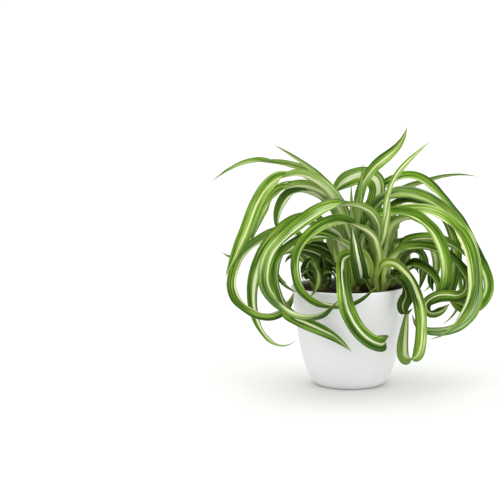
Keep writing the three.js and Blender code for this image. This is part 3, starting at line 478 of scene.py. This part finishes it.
def grown_blade(tree, material, look, line, **inputs):
    """The mesh of a blade in one look, along its points with their upper sides, half widths and rises."""
    points, ups, halves, rises = line
    mesh = bpy.data.meshes.new("midrib")
    mesh.from_pydata([tuple(p) for p in points], [(i, i + 1) for i in range(len(points) - 1)], [])
    directions = mesh.attributes.new("up", "FLOAT_VECTOR", "POINT")
    directions.data.foreach_set("vector", np.array(ups, float).ravel())
    for name, values in (("half", halves), ("rise", rises)):
        mesh.attributes.new(name, "FLOAT", "POINT").data.foreach_set("value", np.array(values, float))
    return grown(tree, mesh, Finish=material, **dict(zip(LOOK_NAMES, look)), **inputs)


def clasping(points, halves, rises):
    """Widens and folds the foot of a blade, where it clasps the younger leaves inside it."""
    arc = 0.0
    wide, folded = list(halves), list(rises)
    most = min(1.0, max(halves) / CLASP_FULL)
    for i in range(1, len(points) - 1):
        arc += (points[i] - points[i - 1]).length
        share = eased(arc, *CLASP_STARTS) * (1 - eased(arc, *CLASP_ENDS)) * most
        wide[i] += CLASP_WIDTH * share
        folded[i] += CLASP_FOLD * share
    return wide, folded


# ---- reading a leaf's midrib from its node -------------------------------------------------------------------
def chains_of(node):
    """The leaves of a node, longest first: each a list of cross-sections from its foot to its one-point tip."""
    shape = bmesh.new()
    shape.from_mesh(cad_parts[node].data)
    bmesh.ops.remove_doubles(shape, verts=shape.verts, dist=SAME_POINT)
    neighbours = {v.index: [e.other_vert(v).index for e in v.link_edges] for v in shape.verts}
    places = [v.co.copy() for v in shape.verts]
    shape.free()
    chains = []
    # A tip is the one point that meets a whole cross-section.
    for tip in (i for i, near in neighbours.items() if len(near) == SECTION_POINTS):
        levels = [[tip]]
        seen = {tip}
        while True:
            ring = {j for i in levels[-1] for j in neighbours[i]} - seen
            if len(ring) != SECTION_POINTS:
                break
            seen |= ring
            levels.append(sorted(ring))
        if len(levels) >= FEWEST_SECTIONS:
            chains.append([[places[i] for i in ring] for ring in reversed(levels)])
    return sorted(chains, key=len, reverse=True)


def leaf_line(rings):
    """A leaf's line, read from its sections: midrib points, upper sides, half widths and rises of its edges."""
    first = rings[0]
    a, b = max(((p, q) for p in first for q in first), key=lambda pair: (pair[0] - pair[1]).length)
    side = (b - a).normalized()
    points, ups, halves, rises = [], [], [], []
    # Across a section lie its left edge, its middle and its right edge, each as an upper and a lower point.
    for ring in rings[:-1]:
        ordered = sorted(ring, key=lambda p: p.dot(side))
        left, middle, right = ((ordered[i] + ordered[i + 1]) / 2 for i in (0, 2, 4))
        side = (right - left).normalized()
        edges = (left + right) / 2 - middle
        up = (ordered[2] - ordered[3]).normalized()
        if up.dot(edges) < 0:
            up = -up
        points.append(middle)
        ups.append(up)
        halves.append((right - left).length / 2)
        rises.append(edges.dot(up))
    return points + [rings[-1][0]], ups + [ups[-1]], halves + [0.0], rises + [0.0]


# ---- finishes ------------------------------------------------------------------------------------------------
def finish(name):
    """A new node material: the material, its tree and its shader."""
    material = bpy.data.materials.new(name)
    material.use_nodes = True
    return material, Tree(material.node_tree), material.node_tree.nodes["Principled BSDF"]


def attribute(t, name):
    return t.add("ShaderNodeAttribute", attribute_name=name).outputs["Fac"]


def object_place(t):
    return t.add("ShaderNodeTexCoord").outputs["Object"]


def blend(t, share, first, second):
    """The first colour, and the second one as the share goes from 0 to 1."""
    node = t.add("ShaderNodeMix", data_type="RGBA")
    t.feed(node.inputs["Factor"], share)
    for label, value in (("A", first), ("B", second)):
        socket = next(s for s in node.inputs if s.name == label and s.type == "RGBA")
        t.feed(socket, value if isinstance(value, bpy.types.NodeSocket) else (*value, 1.0))
    return next(s for s in node.outputs if s.type == "RGBA")


def speckle(t, vector, scale, detail=2.0, rough=0.5):
    inputs = {"Vector": vector, "Scale": scale, "Detail": detail, "Roughness": rough}
    return t.add("ShaderNodeTexNoise", inputs).outputs[0]


def surfaced(t, shader, colour, roughness):
    t.feed(shader.inputs["Base Color"], colour)
    t.feed(shader.inputs["Roughness"], roughness)


def bumped(t, shader, height, strength, distance):
    bump = t.add("ShaderNodeBump", {"Height": height, "Strength": strength, "Distance": distance})
    t.feed(shader.inputs["Normal"], bump.outputs[0])


def ramp(t, factor, *stops):
    """A colour that runs through evenly spaced stops as the factor goes from 0 to 1."""
    node = t.add("ShaderNodeValToRGB", {"Fac": factor})
    elements = node.color_ramp.elements
    while len(elements) < len(stops):
        elements.new(0.5)
    for i, (element, colour) in enumerate(zip(elements, stops)):
        element.position = i / (len(stops) - 1)
        element.color = (*colour, 1.0)
    return node.outputs["Color"]


def leaf_finish():
    """Green blade: cream middle stripe, lengthwise streaks, a pale foot, a paler underside and a dry tip."""
    material, t, shader = finish("spider plant leaf")
    uv_map = t.add("ShaderNodeUVMap", uv_map="UVMap").outputs[0]
    uv = t.add("ShaderNodeSeparateXYZ", {"Vector": uv_map}).outputs
    seed, tone, stripe = attribute(t, "seed"), attribute(t, "tone"), attribute(t, "stripe")
    # The last of these is the strength of the painted sheen, which stands in for reflected light.
    under, cream, painted_sheen = attribute(t, "under"), attribute(t, "cream"), attribute(t, "painted_sheen")
    reach = t.maths("MULTIPLY", uv["Y"], attribute(t, "length"))  # metres from the leaf's foot
    across = t.weighted(-1.0, (uv["X"], 2.0))  # -1 and 1 at the margins

    def streaks(name):
        across_scale, along_scale, offset, detail = STREAKS[name]
        place = t.add("ShaderNodeCombineXYZ", {"X": t.maths("MULTIPLY", across, across_scale),
                                               "Y": t.maths("MULTIPLY", reach, along_scale),
                                               "Z": t.maths("ADD", seed, offset)}).outputs[0]
        return t.weighted(-0.5, (speckle(t, place, 1.0, detail), 1.0))

    off = t.maths("ABSOLUTE", across)
    shifted = t.weighted(across, (streaks("drift"), 0.5), (attribute(t, "shift"), -1.0))
    from_stripe = t.maths("ABSOLUTE", shifted)
    grain, fine = streaks("grain"), streaks("fine")
    light_line = t.smooth(streaks("light"), 0.02, 0.09)
    dark_line = t.smooth(streaks("dark"), 0.04, 0.11)

    # Green, from deep to bright: streaks, a lighter shoulder by the stripe, darker margins and tip.
    margin = t.smooth(off, 0.74, 0.99)
    shoulder = t.smooth(from_stripe, 0.60, 0.14)
    far = t.smooth(from_stripe, 0.50, 1.45)
    tail = t.smooth(uv["Y"], 0.80, 0.99)
    value = t.weighted(0.14, (tone, 0.56), (streaks("patch"), 1.5), (streaks("broad"), 1.1), (grain, 1.4),
                       (fine, 1.3), (margin, -0.05), (shoulder, 0.20), (light_line, 0.20), (dark_line, -0.26),
                       (far, -0.15), (tail, -0.20))
    # Painted sheen: blue-green to pale patches mixed into the green stand in for reflected light.
    sheen = t.maths("MULTIPLY", t.smooth(streaks("sheen"), -0.06, 0.16), t.maths("MULTIPLY", painted_sheen, 0.6))
    green = blend(t, sheen, ramp(t, value, *GREENS), blend(t, value, *SHEENS))
    green = blend(t, t.maths("MULTIPLY", under, 0.3), green, (0.27, 0.37, 0.12))

    # The stripe has a fuzzy edge, is wider underneath and fades at the foot and the tip.
    width = t.maths("MULTIPLY", stripe, t.weighted(0.085, (under, 0.08)))
    edge = t.maths("ADD", from_stripe, t.weighted(0.0, (fine, 0.30), (grain, 0.35), (dark_line, 0.10)))
    striped = t.smooth(edge, width, t.weighted(0.07, (width, 1.3)), 1.0, 0.0)
    fading = t.weighted(0.40, (t.smooth(uv["Y"], 0.97, 0.80), 0.5))
    fading = t.maths("MULTIPLY", fading, t.smooth(reach, 0.008, 0.05, 0.45, 1.0))
    striped = t.maths("MULTIPLY", striped, fading)
    pale = ramp(t, t.weighted(cream, (fine, 0.6), (grain, 0.5)), *CREAMS)
    pale = blend(t, t.maths("MULTIPLY", under, 0.5), pale, (0.66, 0.67, 0.40))
    colour = blend(t, striped, green, pale)

    pale_foot = ramp(t, t.weighted(0.5, (grain, 1.6), (fine, 0.8)), *PALE_GREENS)
    for share, tint in (
        (t.smooth(reach, attribute(t, "sheath"), 0.004, 0.0, 0.7), pale_foot),
        (t.smooth(reach, 0.010, 0.001, 0.0, 0.75), (0.13, 0.075, 0.03)),  # earthy foot
        (t.smooth(off, 0.955, 1.0, 0.0, 0.4), (0.40, 0.50, 0.16)),  # thin pale margin
        (t.smooth(uv["Y"], 0.955, 0.995, 0.0, 0.5), (0.42, 0.38, 0.16)),  # yellowing tip
        (t.smooth(uv["Y"], 0.988, 1.0, 0.0, 0.8), (0.20, 0.11, 0.04)),  # dry point
    ):
        colour = blend(t, share, colour, tint)
    surfaced(t, shader, colour, t.smooth(grain, -0.25, 0.25, 0.40, 0.54))
    shader.inputs["Specular IOR Level"].default_value = 0.11
    shader.inputs["Subsurface Weight"].default_value = 0.12
    shader.inputs["Subsurface Radius"].default_value = (0.6, 1.0, 0.2)
    shader.inputs["Subsurface Scale"].default_value = MM
    ribs = t.maths("SINE", t.maths("MULTIPLY", across, RIBS))
    midrib = t.smooth(off, 0.0, 0.09)
    height = t.weighted(0.0, (ribs, 0.2), (fine, 2.4), (grain, 1.2), (midrib, 1.4))
    bumped(t, shader, height, 0.4, 0.12 * MM)
    return material


def pot_finish():
    """Smooth white glaze, hardly clouded."""
    material, t, shader = finish("white pot glaze")
    place = object_place(t)
    cloud = speckle(t, place, 18.0, 3.0)
    colour = blend(t, cloud, (0.745, 0.745, 0.755), (0.775, 0.775, 0.785))
    surfaced(t, shader, colour, t.smooth(cloud, 0.3, 0.7, 0.40, 0.47))
    shader.inputs["Coat Weight"].default_value = 0.12
    shader.inputs["Coat Roughness"].default_value = 0.35
    bumped(t, shader, speckle(t, place, 900.0), 0.08, 0.1 * MM)
    return material


def soil_finish():
    """Dark crumbly soil with browner patches."""
    material, t, shader = finish("dark potting soil")
    place = object_place(t)
    crumb = speckle(t, place, 420.0, 5.0, 0.65)
    patch = speckle(t, place, 60.0)
    colour = blend(t, t.smooth(crumb, 0.35, 0.7), (0.006, 0.004, 0.003), (0.045, 0.028, 0.018))
    colour = blend(t, t.smooth(patch, 0.45, 0.8), colour, (0.028, 0.018, 0.012))
    surfaced(t, shader, colour, t.smooth(crumb, 0.2, 0.8, 0.75, 0.98))
    bumped(t, shader, crumb, 0.9, 1.2 * MM)
    return material


def crumb_finish():
    """Crumbs from dark soil to brown bark, with a pale one here and there."""
    material, t, shader = finish("soil crumbs and bark")
    place = object_place(t)
    kind = speckle(t, place, 170.0, 1.0)
    grain = speckle(t, place, 1500.0, 3.0)
    colour = blend(t, t.smooth(kind, 0.40, 0.62), (0.010, 0.007, 0.005), (0.075, 0.042, 0.022))
    colour = blend(t, t.smooth(kind, 0.70, 0.76), colour, (0.32, 0.28, 0.22))
    colour = blend(t, t.maths("MULTIPLY", grain, 0.5), colour, (0.01, 0.008, 0.006))
    surfaced(t, shader, colour, t.smooth(grain, 0.2, 0.8, 0.7, 0.95))
    bumped(t, shader, grain, 0.5, 0.4 * MM)
    return material


def crown_finish():
    """Rootstock skin: brown in the soil and green over it, with upright streaks."""
    material, t, shader = finish("rootstock skin")
    place = object_place(t)
    height = t.add("ShaderNodeSeparateXYZ", {"Vector": place}).outputs["Z"]
    streak_place = t.add("ShaderNodeMapping", {"Vector": place, "Scale": (900.0, 900.0, 90.0)}).outputs[0]
    streak = speckle(t, streak_place, 1.0, 3.0)
    green = blend(t, streak, (0.20, 0.24, 0.07), (0.42, 0.45, 0.20))
    brown = blend(t, streak, (0.09, 0.05, 0.025), (0.26, 0.17, 0.08))
    colour = blend(t, t.smooth(height, SOIL_LEVEL - MM, SOIL_LEVEL + 7 * MM), brown, green)
    surfaced(t, shader, colour, t.smooth(streak, 0.2, 0.8, 0.5, 0.8))
    bumped(t, shader, streak, 0.5, 0.4 * MM)
    return material


def floor_finish():
    """A plain pale table."""
    material, t, shader = finish("pale table")
    cloud = speckle(t, object_place(t), 3.0)
    surfaced(t, shader, blend(t, cloud, (0.73, 0.74, 0.72), (0.745, 0.755, 0.735)), 0.6)
    shader.inputs["Specular IOR Level"].default_value = 0.2
    return material


# ---- pot -----------------------------------------------------------------------------------------------------
def turned(name, outline, sides, material):
    """A closed turned body from (radius, height) points that start and end on the axis."""
    shape = bmesh.new()
    rings = []
    for radius, height in outline:
        on_axis = radius < 1e-7
        rings.append(ring_of(shape, radius, 1 if on_axis else sides, lambda x, y: height))
    walled(shape, rings, sides)
    bmesh.ops.recalc_face_normals(shape, faces=shape.faces)
    smoothed(shape)
    return mesh_of(shape, name, material)


def quadratic(a, b, c, steps):
    """Points of a curve from a, which is left out, to c; b pulls at it."""
    return [tuple((1 - t) ** 2 * p + 2 * t * (1 - t) * q + t * t * r for p, q, r in zip(a, b, c))
            for t in (i / steps for i in range(1, steps + 1))]


def cubic(a, b, c, d, steps):
    """Points of a curve from a, which is left out, to d; b and c pull at it."""
    return [tuple((1 - t) ** 3 * p + 3 * t * (1 - t) ** 2 * q + 3 * t * t * (1 - t) * r + t ** 3 * s
                  for p, q, r, s in zip(a, b, c, d))
            for t in (i / steps for i in range(1, steps + 1))]


def outer_outline():
    """The outside of the pot as (radius, height) points, from its foot to the start of its lip."""
    foot = (FOOT_RADIUS, 0.0)
    corner = (CORNER_RADIUS, CORNER_HEIGHT)
    lip = (RIM_RADIUS, POT_HEIGHT - LIP_RADIUS)
    corner_pull = (CORNER_RADIUS - CORNER_HEIGHT * CORNER_LEAN, 0.0)
    wall = cubic(corner, *WALL_PULLS, lip, WALL_STEPS)
    return [foot, *quadratic(foot, corner_pull, corner, CORNER_STEPS), *wall]


def make_pot():
    """The pot in one turned body: foot, outside, rounded lip, inside and floor."""
    outer = outer_outline()
    lip = []
    for i in range(1, LIP_STEPS):
        a = math.pi * i / LIP_STEPS
        flat = RIM_RADIUS - WALL / 2 + (WALL / 2) * math.cos(a)
        lip.append((flat, POT_HEIGHT - LIP_RADIUS + LIP_RADIUS * math.sin(a)))
    inner = [(r - WALL, max(z, FLOOR_THICKNESS)) for r, z in reversed(outer)]
    inner = [p for i, p in enumerate(inner) if i == 0 or p != inner[i - 1]]
    outline = [(0.0, 0.0), (FOOT_RADIUS - FOOT_EDGE, 0.0), *outer, *lip, *inner, (0.0, FLOOR_THICKNESS)]
    piece("white_pot", turned("white_pot", outline, POT_SIDES, pot_finish()), "pot", "pot")


# ---- soil ----------------------------------------------------------------------------------------------------
def soil_height(x, y):
    """Crumbly top of the soil: it is heaped up a little against the wall."""
    place = Vector((x, y, 0))
    lumps = sum(height * noise.noise(place * closeness) for height, closeness in SOIL_LUMPS)
    return SOIL_LEVEL + lumps + SOIL_HEAP * eased(math.hypot(x, y), *SOIL_HEAP_SPAN)


def make_soil():
    """The soil down to the pot's floor: rings outwards over its top, then down its flank."""
    radius = RIM_RADIUS - WALL - SOIL_GAP
    shape = bmesh.new()
    centre = shape.verts.new((0, 0, soil_height(0, 0)))
    loops = [ring_of(shape, radius * ring / SOIL_RINGS, SOIL_SIDES, soil_height)
             for ring in range(1, SOIL_RINGS + 1)]
    for height, narrowing in (*SOIL_FLANK, (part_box("soil")[0].z, SOIL_FOOT)):
        loops.append(ring_of(shape, radius - narrowing, SOIL_SIDES, lambda x, y: height))
    for k in range(SOIL_SIDES):
        shape.faces.new((centre, loops[0][k], loops[0][(k + 1) % SOIL_SIDES]))
    for low, high in zip(loops, loops[1:]):
        for k in range(SOIL_SIDES):
            n = (k + 1) % SOIL_SIDES
            shape.faces.new((low[k], high[k], high[n], low[n]))
    shape.faces.new(reversed(loops[-1]))
    bmesh.ops.recalc_face_normals(shape, faces=shape.faces)
    smoothed(shape)
    piece("soil_fill", mesh_of(shape, "soil_fill", soil_finish()), "soil", "soil")


def crumb_tree(material):
    """Crumbs strewn over a surface: small knobbly stones, turned and sized at random."""
    group = geometry_tree("crumbs on soil", [
        ("Ground", "Geometry", None), ("Density", "Float", CRUMB_DENSITY), ("Smallest", "Float", CRUMB_SIZES[0]),
        ("Largest", "Float", CRUMB_SIZES[1]), ("Seed", "Int", CRUMB_SEED)], "Crumbs")
    t = Tree(group)
    given = t.add("NodeGroupInput").outputs
    strewn = {"Mesh": given["Ground"], "Density": given["Density"], "Seed": given["Seed"]}
    points = t.add("GeometryNodeDistributePointsOnFaces", strewn, distribute_method="RANDOM").outputs["Points"]
    stone = t.add("GeometryNodeMeshIcoSphere", {"Radius": 1.0, "Subdivisions": 2}).outputs[0]
    spot = t.add("GeometryNodeInputPosition").outputs[0]
    knobs = t.add("ShaderNodeTexNoise", {"Vector": spot, "Scale": 1.1}).outputs["Color"]
    shift = t.vectors("SCALE", t.vectors("SUBTRACT", knobs, (0.5, 0.5, 0.5)), CRUMB_KNOBS)
    stone = t.add("GeometryNodeSetPosition", {"Geometry": stone, "Offset": shift}).outputs[0]

    def draw(kind, low, high, seed):
        node = t.add("FunctionNodeRandomValue", data_type=kind)
        inputs = {s.name: s for s in node.inputs if s.enabled}
        t.feed(inputs["Min"], low)
        t.feed(inputs["Max"], high)
        t.feed(inputs["Seed"], seed)
        return next(s for s in node.outputs if s.enabled)

    turn = draw("FLOAT_VECTOR", (0.0, 0.0, 0.0), FULL_TURN, 5)
    stretch = draw("FLOAT_VECTOR", (0.6, 0.5, 0.35), (1.5, 1.1, 0.8), 7)
    size = draw("FLOAT", given["Smallest"], given["Largest"], 9)
    size = t.maths("MULTIPLY", size, draw("FLOAT", 0.35, 1.0, 11))
    scale = t.vectors("SCALE", stretch, size)
    rotation = t.add("FunctionNodeEulerToRotation", {"Euler": turn}).outputs[0]
    crumbs = t.add("GeometryNodeInstanceOnPoints", {"Points": points, "Instance": stone,
                                                    "Rotation": rotation, "Scale": scale}).outputs[0]
    t.deliver("Crumbs", crumbs, material)
    return group


def make_crumbs():
    """Crumbs and bark on a round piece of ground just over the soil."""
    radius = RIM_RADIUS - WALL - CRUMB_MARGIN
    shape = bmesh.new()
    bmesh.ops.create_grid(shape, x_segments=CRUMB_CELLS, y_segments=CRUMB_CELLS, size=radius)
    outside = [v for v in shape.verts if math.hypot(v.co.x, v.co.y) > radius]
    bmesh.ops.delete(shape, geom=outside, context="VERTS")
    for v in shape.verts:
        v.co.z = soil_height(v.co.x, v.co.y) + CRUMB_LIFT
    ground = mesh_of(shape, "ground")
    piece("soil_crumbs", grown(crumb_tree(crumb_finish()), ground), "soil", "soil")


# ---- crowns and leaves ---------------------------------------------------------------------------------------
def rootstock(name, x, y, seed, skin):
    """The ribbed, scaly body of a crown, pointed at its foot and rounded off at its top."""
    bottom, top = SOIL_LEVEL - CROWN_DEPTH, SOIL_LEVEL + CROWN_RISE
    shape = bmesh.new()
    rings = []
    for row in range(CROWN_ROWS + 1):
        height = bottom + (top - bottom) * row / CROWN_ROWS
        in_soil = min(1.0, (height - bottom) / (SOIL_LEVEL - 2.5 * MM - bottom))
        over = max(0.0, (height - SOIL_LEVEL) / (top - SOIL_LEVEL))
        r = CROWN_FIT * CROWN_RADIUS * (CROWN_POINT + (1 - CROWN_POINT) * math.sqrt(in_soil))
        r *= 1 - CROWN_TAPER * over ** 1.1
        ring = []
        for k in range(CROWN_SIDES):
            a = math.tau * k / CROWN_SIDES
            place = Vector((math.cos(a) * 4, math.sin(a) * 4, height * 220 + seed))
            wrinkle = 1 + WRINKLE_DEPTH * noise.noise(place)
            wrinkle -= SCALE_DEPTH * abs(math.sin(height * 900 + 1.5 * math.sin(a + seed)))
            ring.append(shape.verts.new((x + r * wrinkle * math.cos(a), y + r * wrinkle * math.sin(a), height)))
        rings.append(ring)
    walled(shape, rings, CROWN_SIDES)
    shape.faces.new(reversed(rings[0]))
    shape.faces.new(rings[-1])
    smoothed(shape)
    return mesh_of(shape, name, skin)


def sheath(tree, material, x, y, bearing, draw):
    """A short dry leaf base that clasps the crown."""
    out = Vector((math.cos(bearing), math.sin(bearing), 0))
    height = draw.uniform(*SHEATH_HEIGHTS) * MM
    points, ups, halves, rises = [], [], [], []
    for i in range(SHEATH_STEPS + 1):
        share = i / SHEATH_STEPS
        stand = SHEATH_RING + height * (SHEATH_START + SHEATH_LEAN * share * share)
        points.append(Vector((x, y, SOIL_LEVEL - MM)) + out * stand + Vector((0, 0, height * share)))
        ups.append(-out)
        halves.append(draw.uniform(*SHEATH_HALVES) * MM * (1 - share ** 2.6))
        rises.append(SHEATH_FOLD * (1 - share ** 1.5))
    return grown_blade(tree, material, SHEATH_LOOK, (points, ups, halves, rises), Rows=SHEATH_ROWS,
                       Columns=SHEATH_COLUMNS, Length=height, Wave=SHEATH_WAVE, Seed=draw.uniform(0, 90),
                       Sheath=SHEATH_PALE_FOOT)


def inner_leaf(tree, material, rings, x, y, seed):
    """A short dark leaf that the CAD grows out of a crown: its foot is set back down into the crown."""
    points, ups, halves, rises = line = leaf_line(rings)
    out = Vector((points[0].x - x, points[0].y - y, 0)).normalized()
    points.insert(0, Vector((x, y, SOIL_LEVEL)) + out * INNER_RING * MM)
    ups.insert(0, -out)
    halves.insert(0, INNER_HALF)
    rises.insert(0, INNER_FOLD)
    length = length_of(points)
    return grown_blade(tree, material, INNER_LOOK, line, Rows=round(length / BLADE_STEP), Length=length,
                       Seed=seed, Sheath=INNER_PALE_FOOT)


def make_crowns(tree, material):
    """Each crown: a rootstock in the soil, the short sheaths that clasp it and its short inner leaves."""
    skin = crown_finish()
    draw = random.Random(SHEATH_DRAWS)
    for index, (letter, place) in enumerate(CROWNS.items()):
        x, y = (value * MM for value in place)
        node = "crown_" + letter
        piece("rootstock_" + letter, rootstock(node, x, y, 9 * index, skin), "crown", node)
        growth = []
        for k in range(SHEATHS):
            bearing = math.tau * (k + draw.uniform(-SHEATH_STRAY, SHEATH_STRAY)) / SHEATHS
            growth.append(sheath(tree, material, x, y, bearing, draw))
        for k, rings in enumerate(chains_of(node)):
            growth.append(inner_leaf(tree, material, rings, x, y, 5.1 * k + index))
        piece("sheaths_" + letter, joined("sheaths_" + letter, growth), "leaf", node)


def make_leaves(tree, material):
    """Each long leaf in its own look, as a blade along the midrib of its node."""
    for index, node in enumerate(sorted(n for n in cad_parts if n.startswith("leaf_"))):
        points, ups, halves, rises = leaf_line(chains_of(node)[0])
        line = (points, ups, *clasping(points, halves, rises))
        length = length_of(points)
        mesh = grown_blade(tree, material, LOOKS.get(node, BACK_LOOK), line, Rows=round(length / BLADE_STEP),
                           Length=length, Seed=SEED_STEP * index + SEED_START,
                           Sheath=min(PALE_FOOT, PALE_FOOT_SHARE * length))
        piece("blade" + node.removeprefix("leaf"), mesh, "leaf", node)


# ---- stage, lights and camera --------------------------------------------------------------------------------
def make_stage():
    """The table under the pot."""
    shape = bmesh.new()
    bmesh.ops.create_grid(shape, x_segments=1, y_segments=1, size=STAGE_HALF)
    linked("floor", mesh_of(shape, "floor", floor_finish()))


def make_lights():
    """A white studio: even light from all round, a soft overhead light and two softer ones from the front."""
    world = bpy.data.worlds.new("studio")
    bpy.context.scene.world = world
    world.use_nodes = True
    t = Tree(world.node_tree)
    seen = t.add("ShaderNodeLightPath").outputs["Is Camera Ray"]
    background = world.node_tree.nodes["Background"]
    background.inputs["Color"].default_value = (1.0, 1.0, 1.0, 1.0)
    t.feed(background.inputs["Strength"], t.smooth(seen, 0.0, 1.0, ROOM_LIGHT, ROOM_SEEN))
    for name, towards, strength, spread in SUNS:
        light = bpy.data.lights.new(name, "SUN")
        light.energy = strength
        light.angle = math.radians(spread)
        linked(name, light).rotation_euler = Vector(towards).to_track_quat("-Z", "Y").to_euler()


def make_camera():
    """The picture's eye: it looks slightly down and to the left, and is slightly tilted."""
    down, left, roll = math.radians(EYE_DOWN), math.radians(EYE_LEFT), math.radians(EYE_ROLL)
    ahead = Vector((-math.sin(left) * math.cos(down), math.cos(left) * math.cos(down), -math.sin(down)))
    right = ahead.cross(Vector((0, 0, 1))).normalized()
    up = right.cross(ahead)
    right, up = right * math.cos(roll) + up * math.sin(roll), up * math.cos(roll) - right * math.sin(roll)
    data = bpy.data.cameras.new("eye")
    data.lens = EYE_LENS
    data.sensor_width = EYE_SENSOR
    camera = linked("eye", data)
    turn = Matrix((right, up, -ahead)).transposed().to_4x4()
    camera.matrix_world = Matrix.Translation(EYE) @ turn
    bpy.context.scene.camera = camera


bpy.context.scene.view_settings.view_transform = "Standard"
make_camera()
make_lights()
make_stage()
make_pot()
make_soil()
make_crumbs()
blade = blade_tree()
leaf_material = leaf_finish()
make_crowns(blade, leaf_material)
make_leaves(blade, leaf_material)
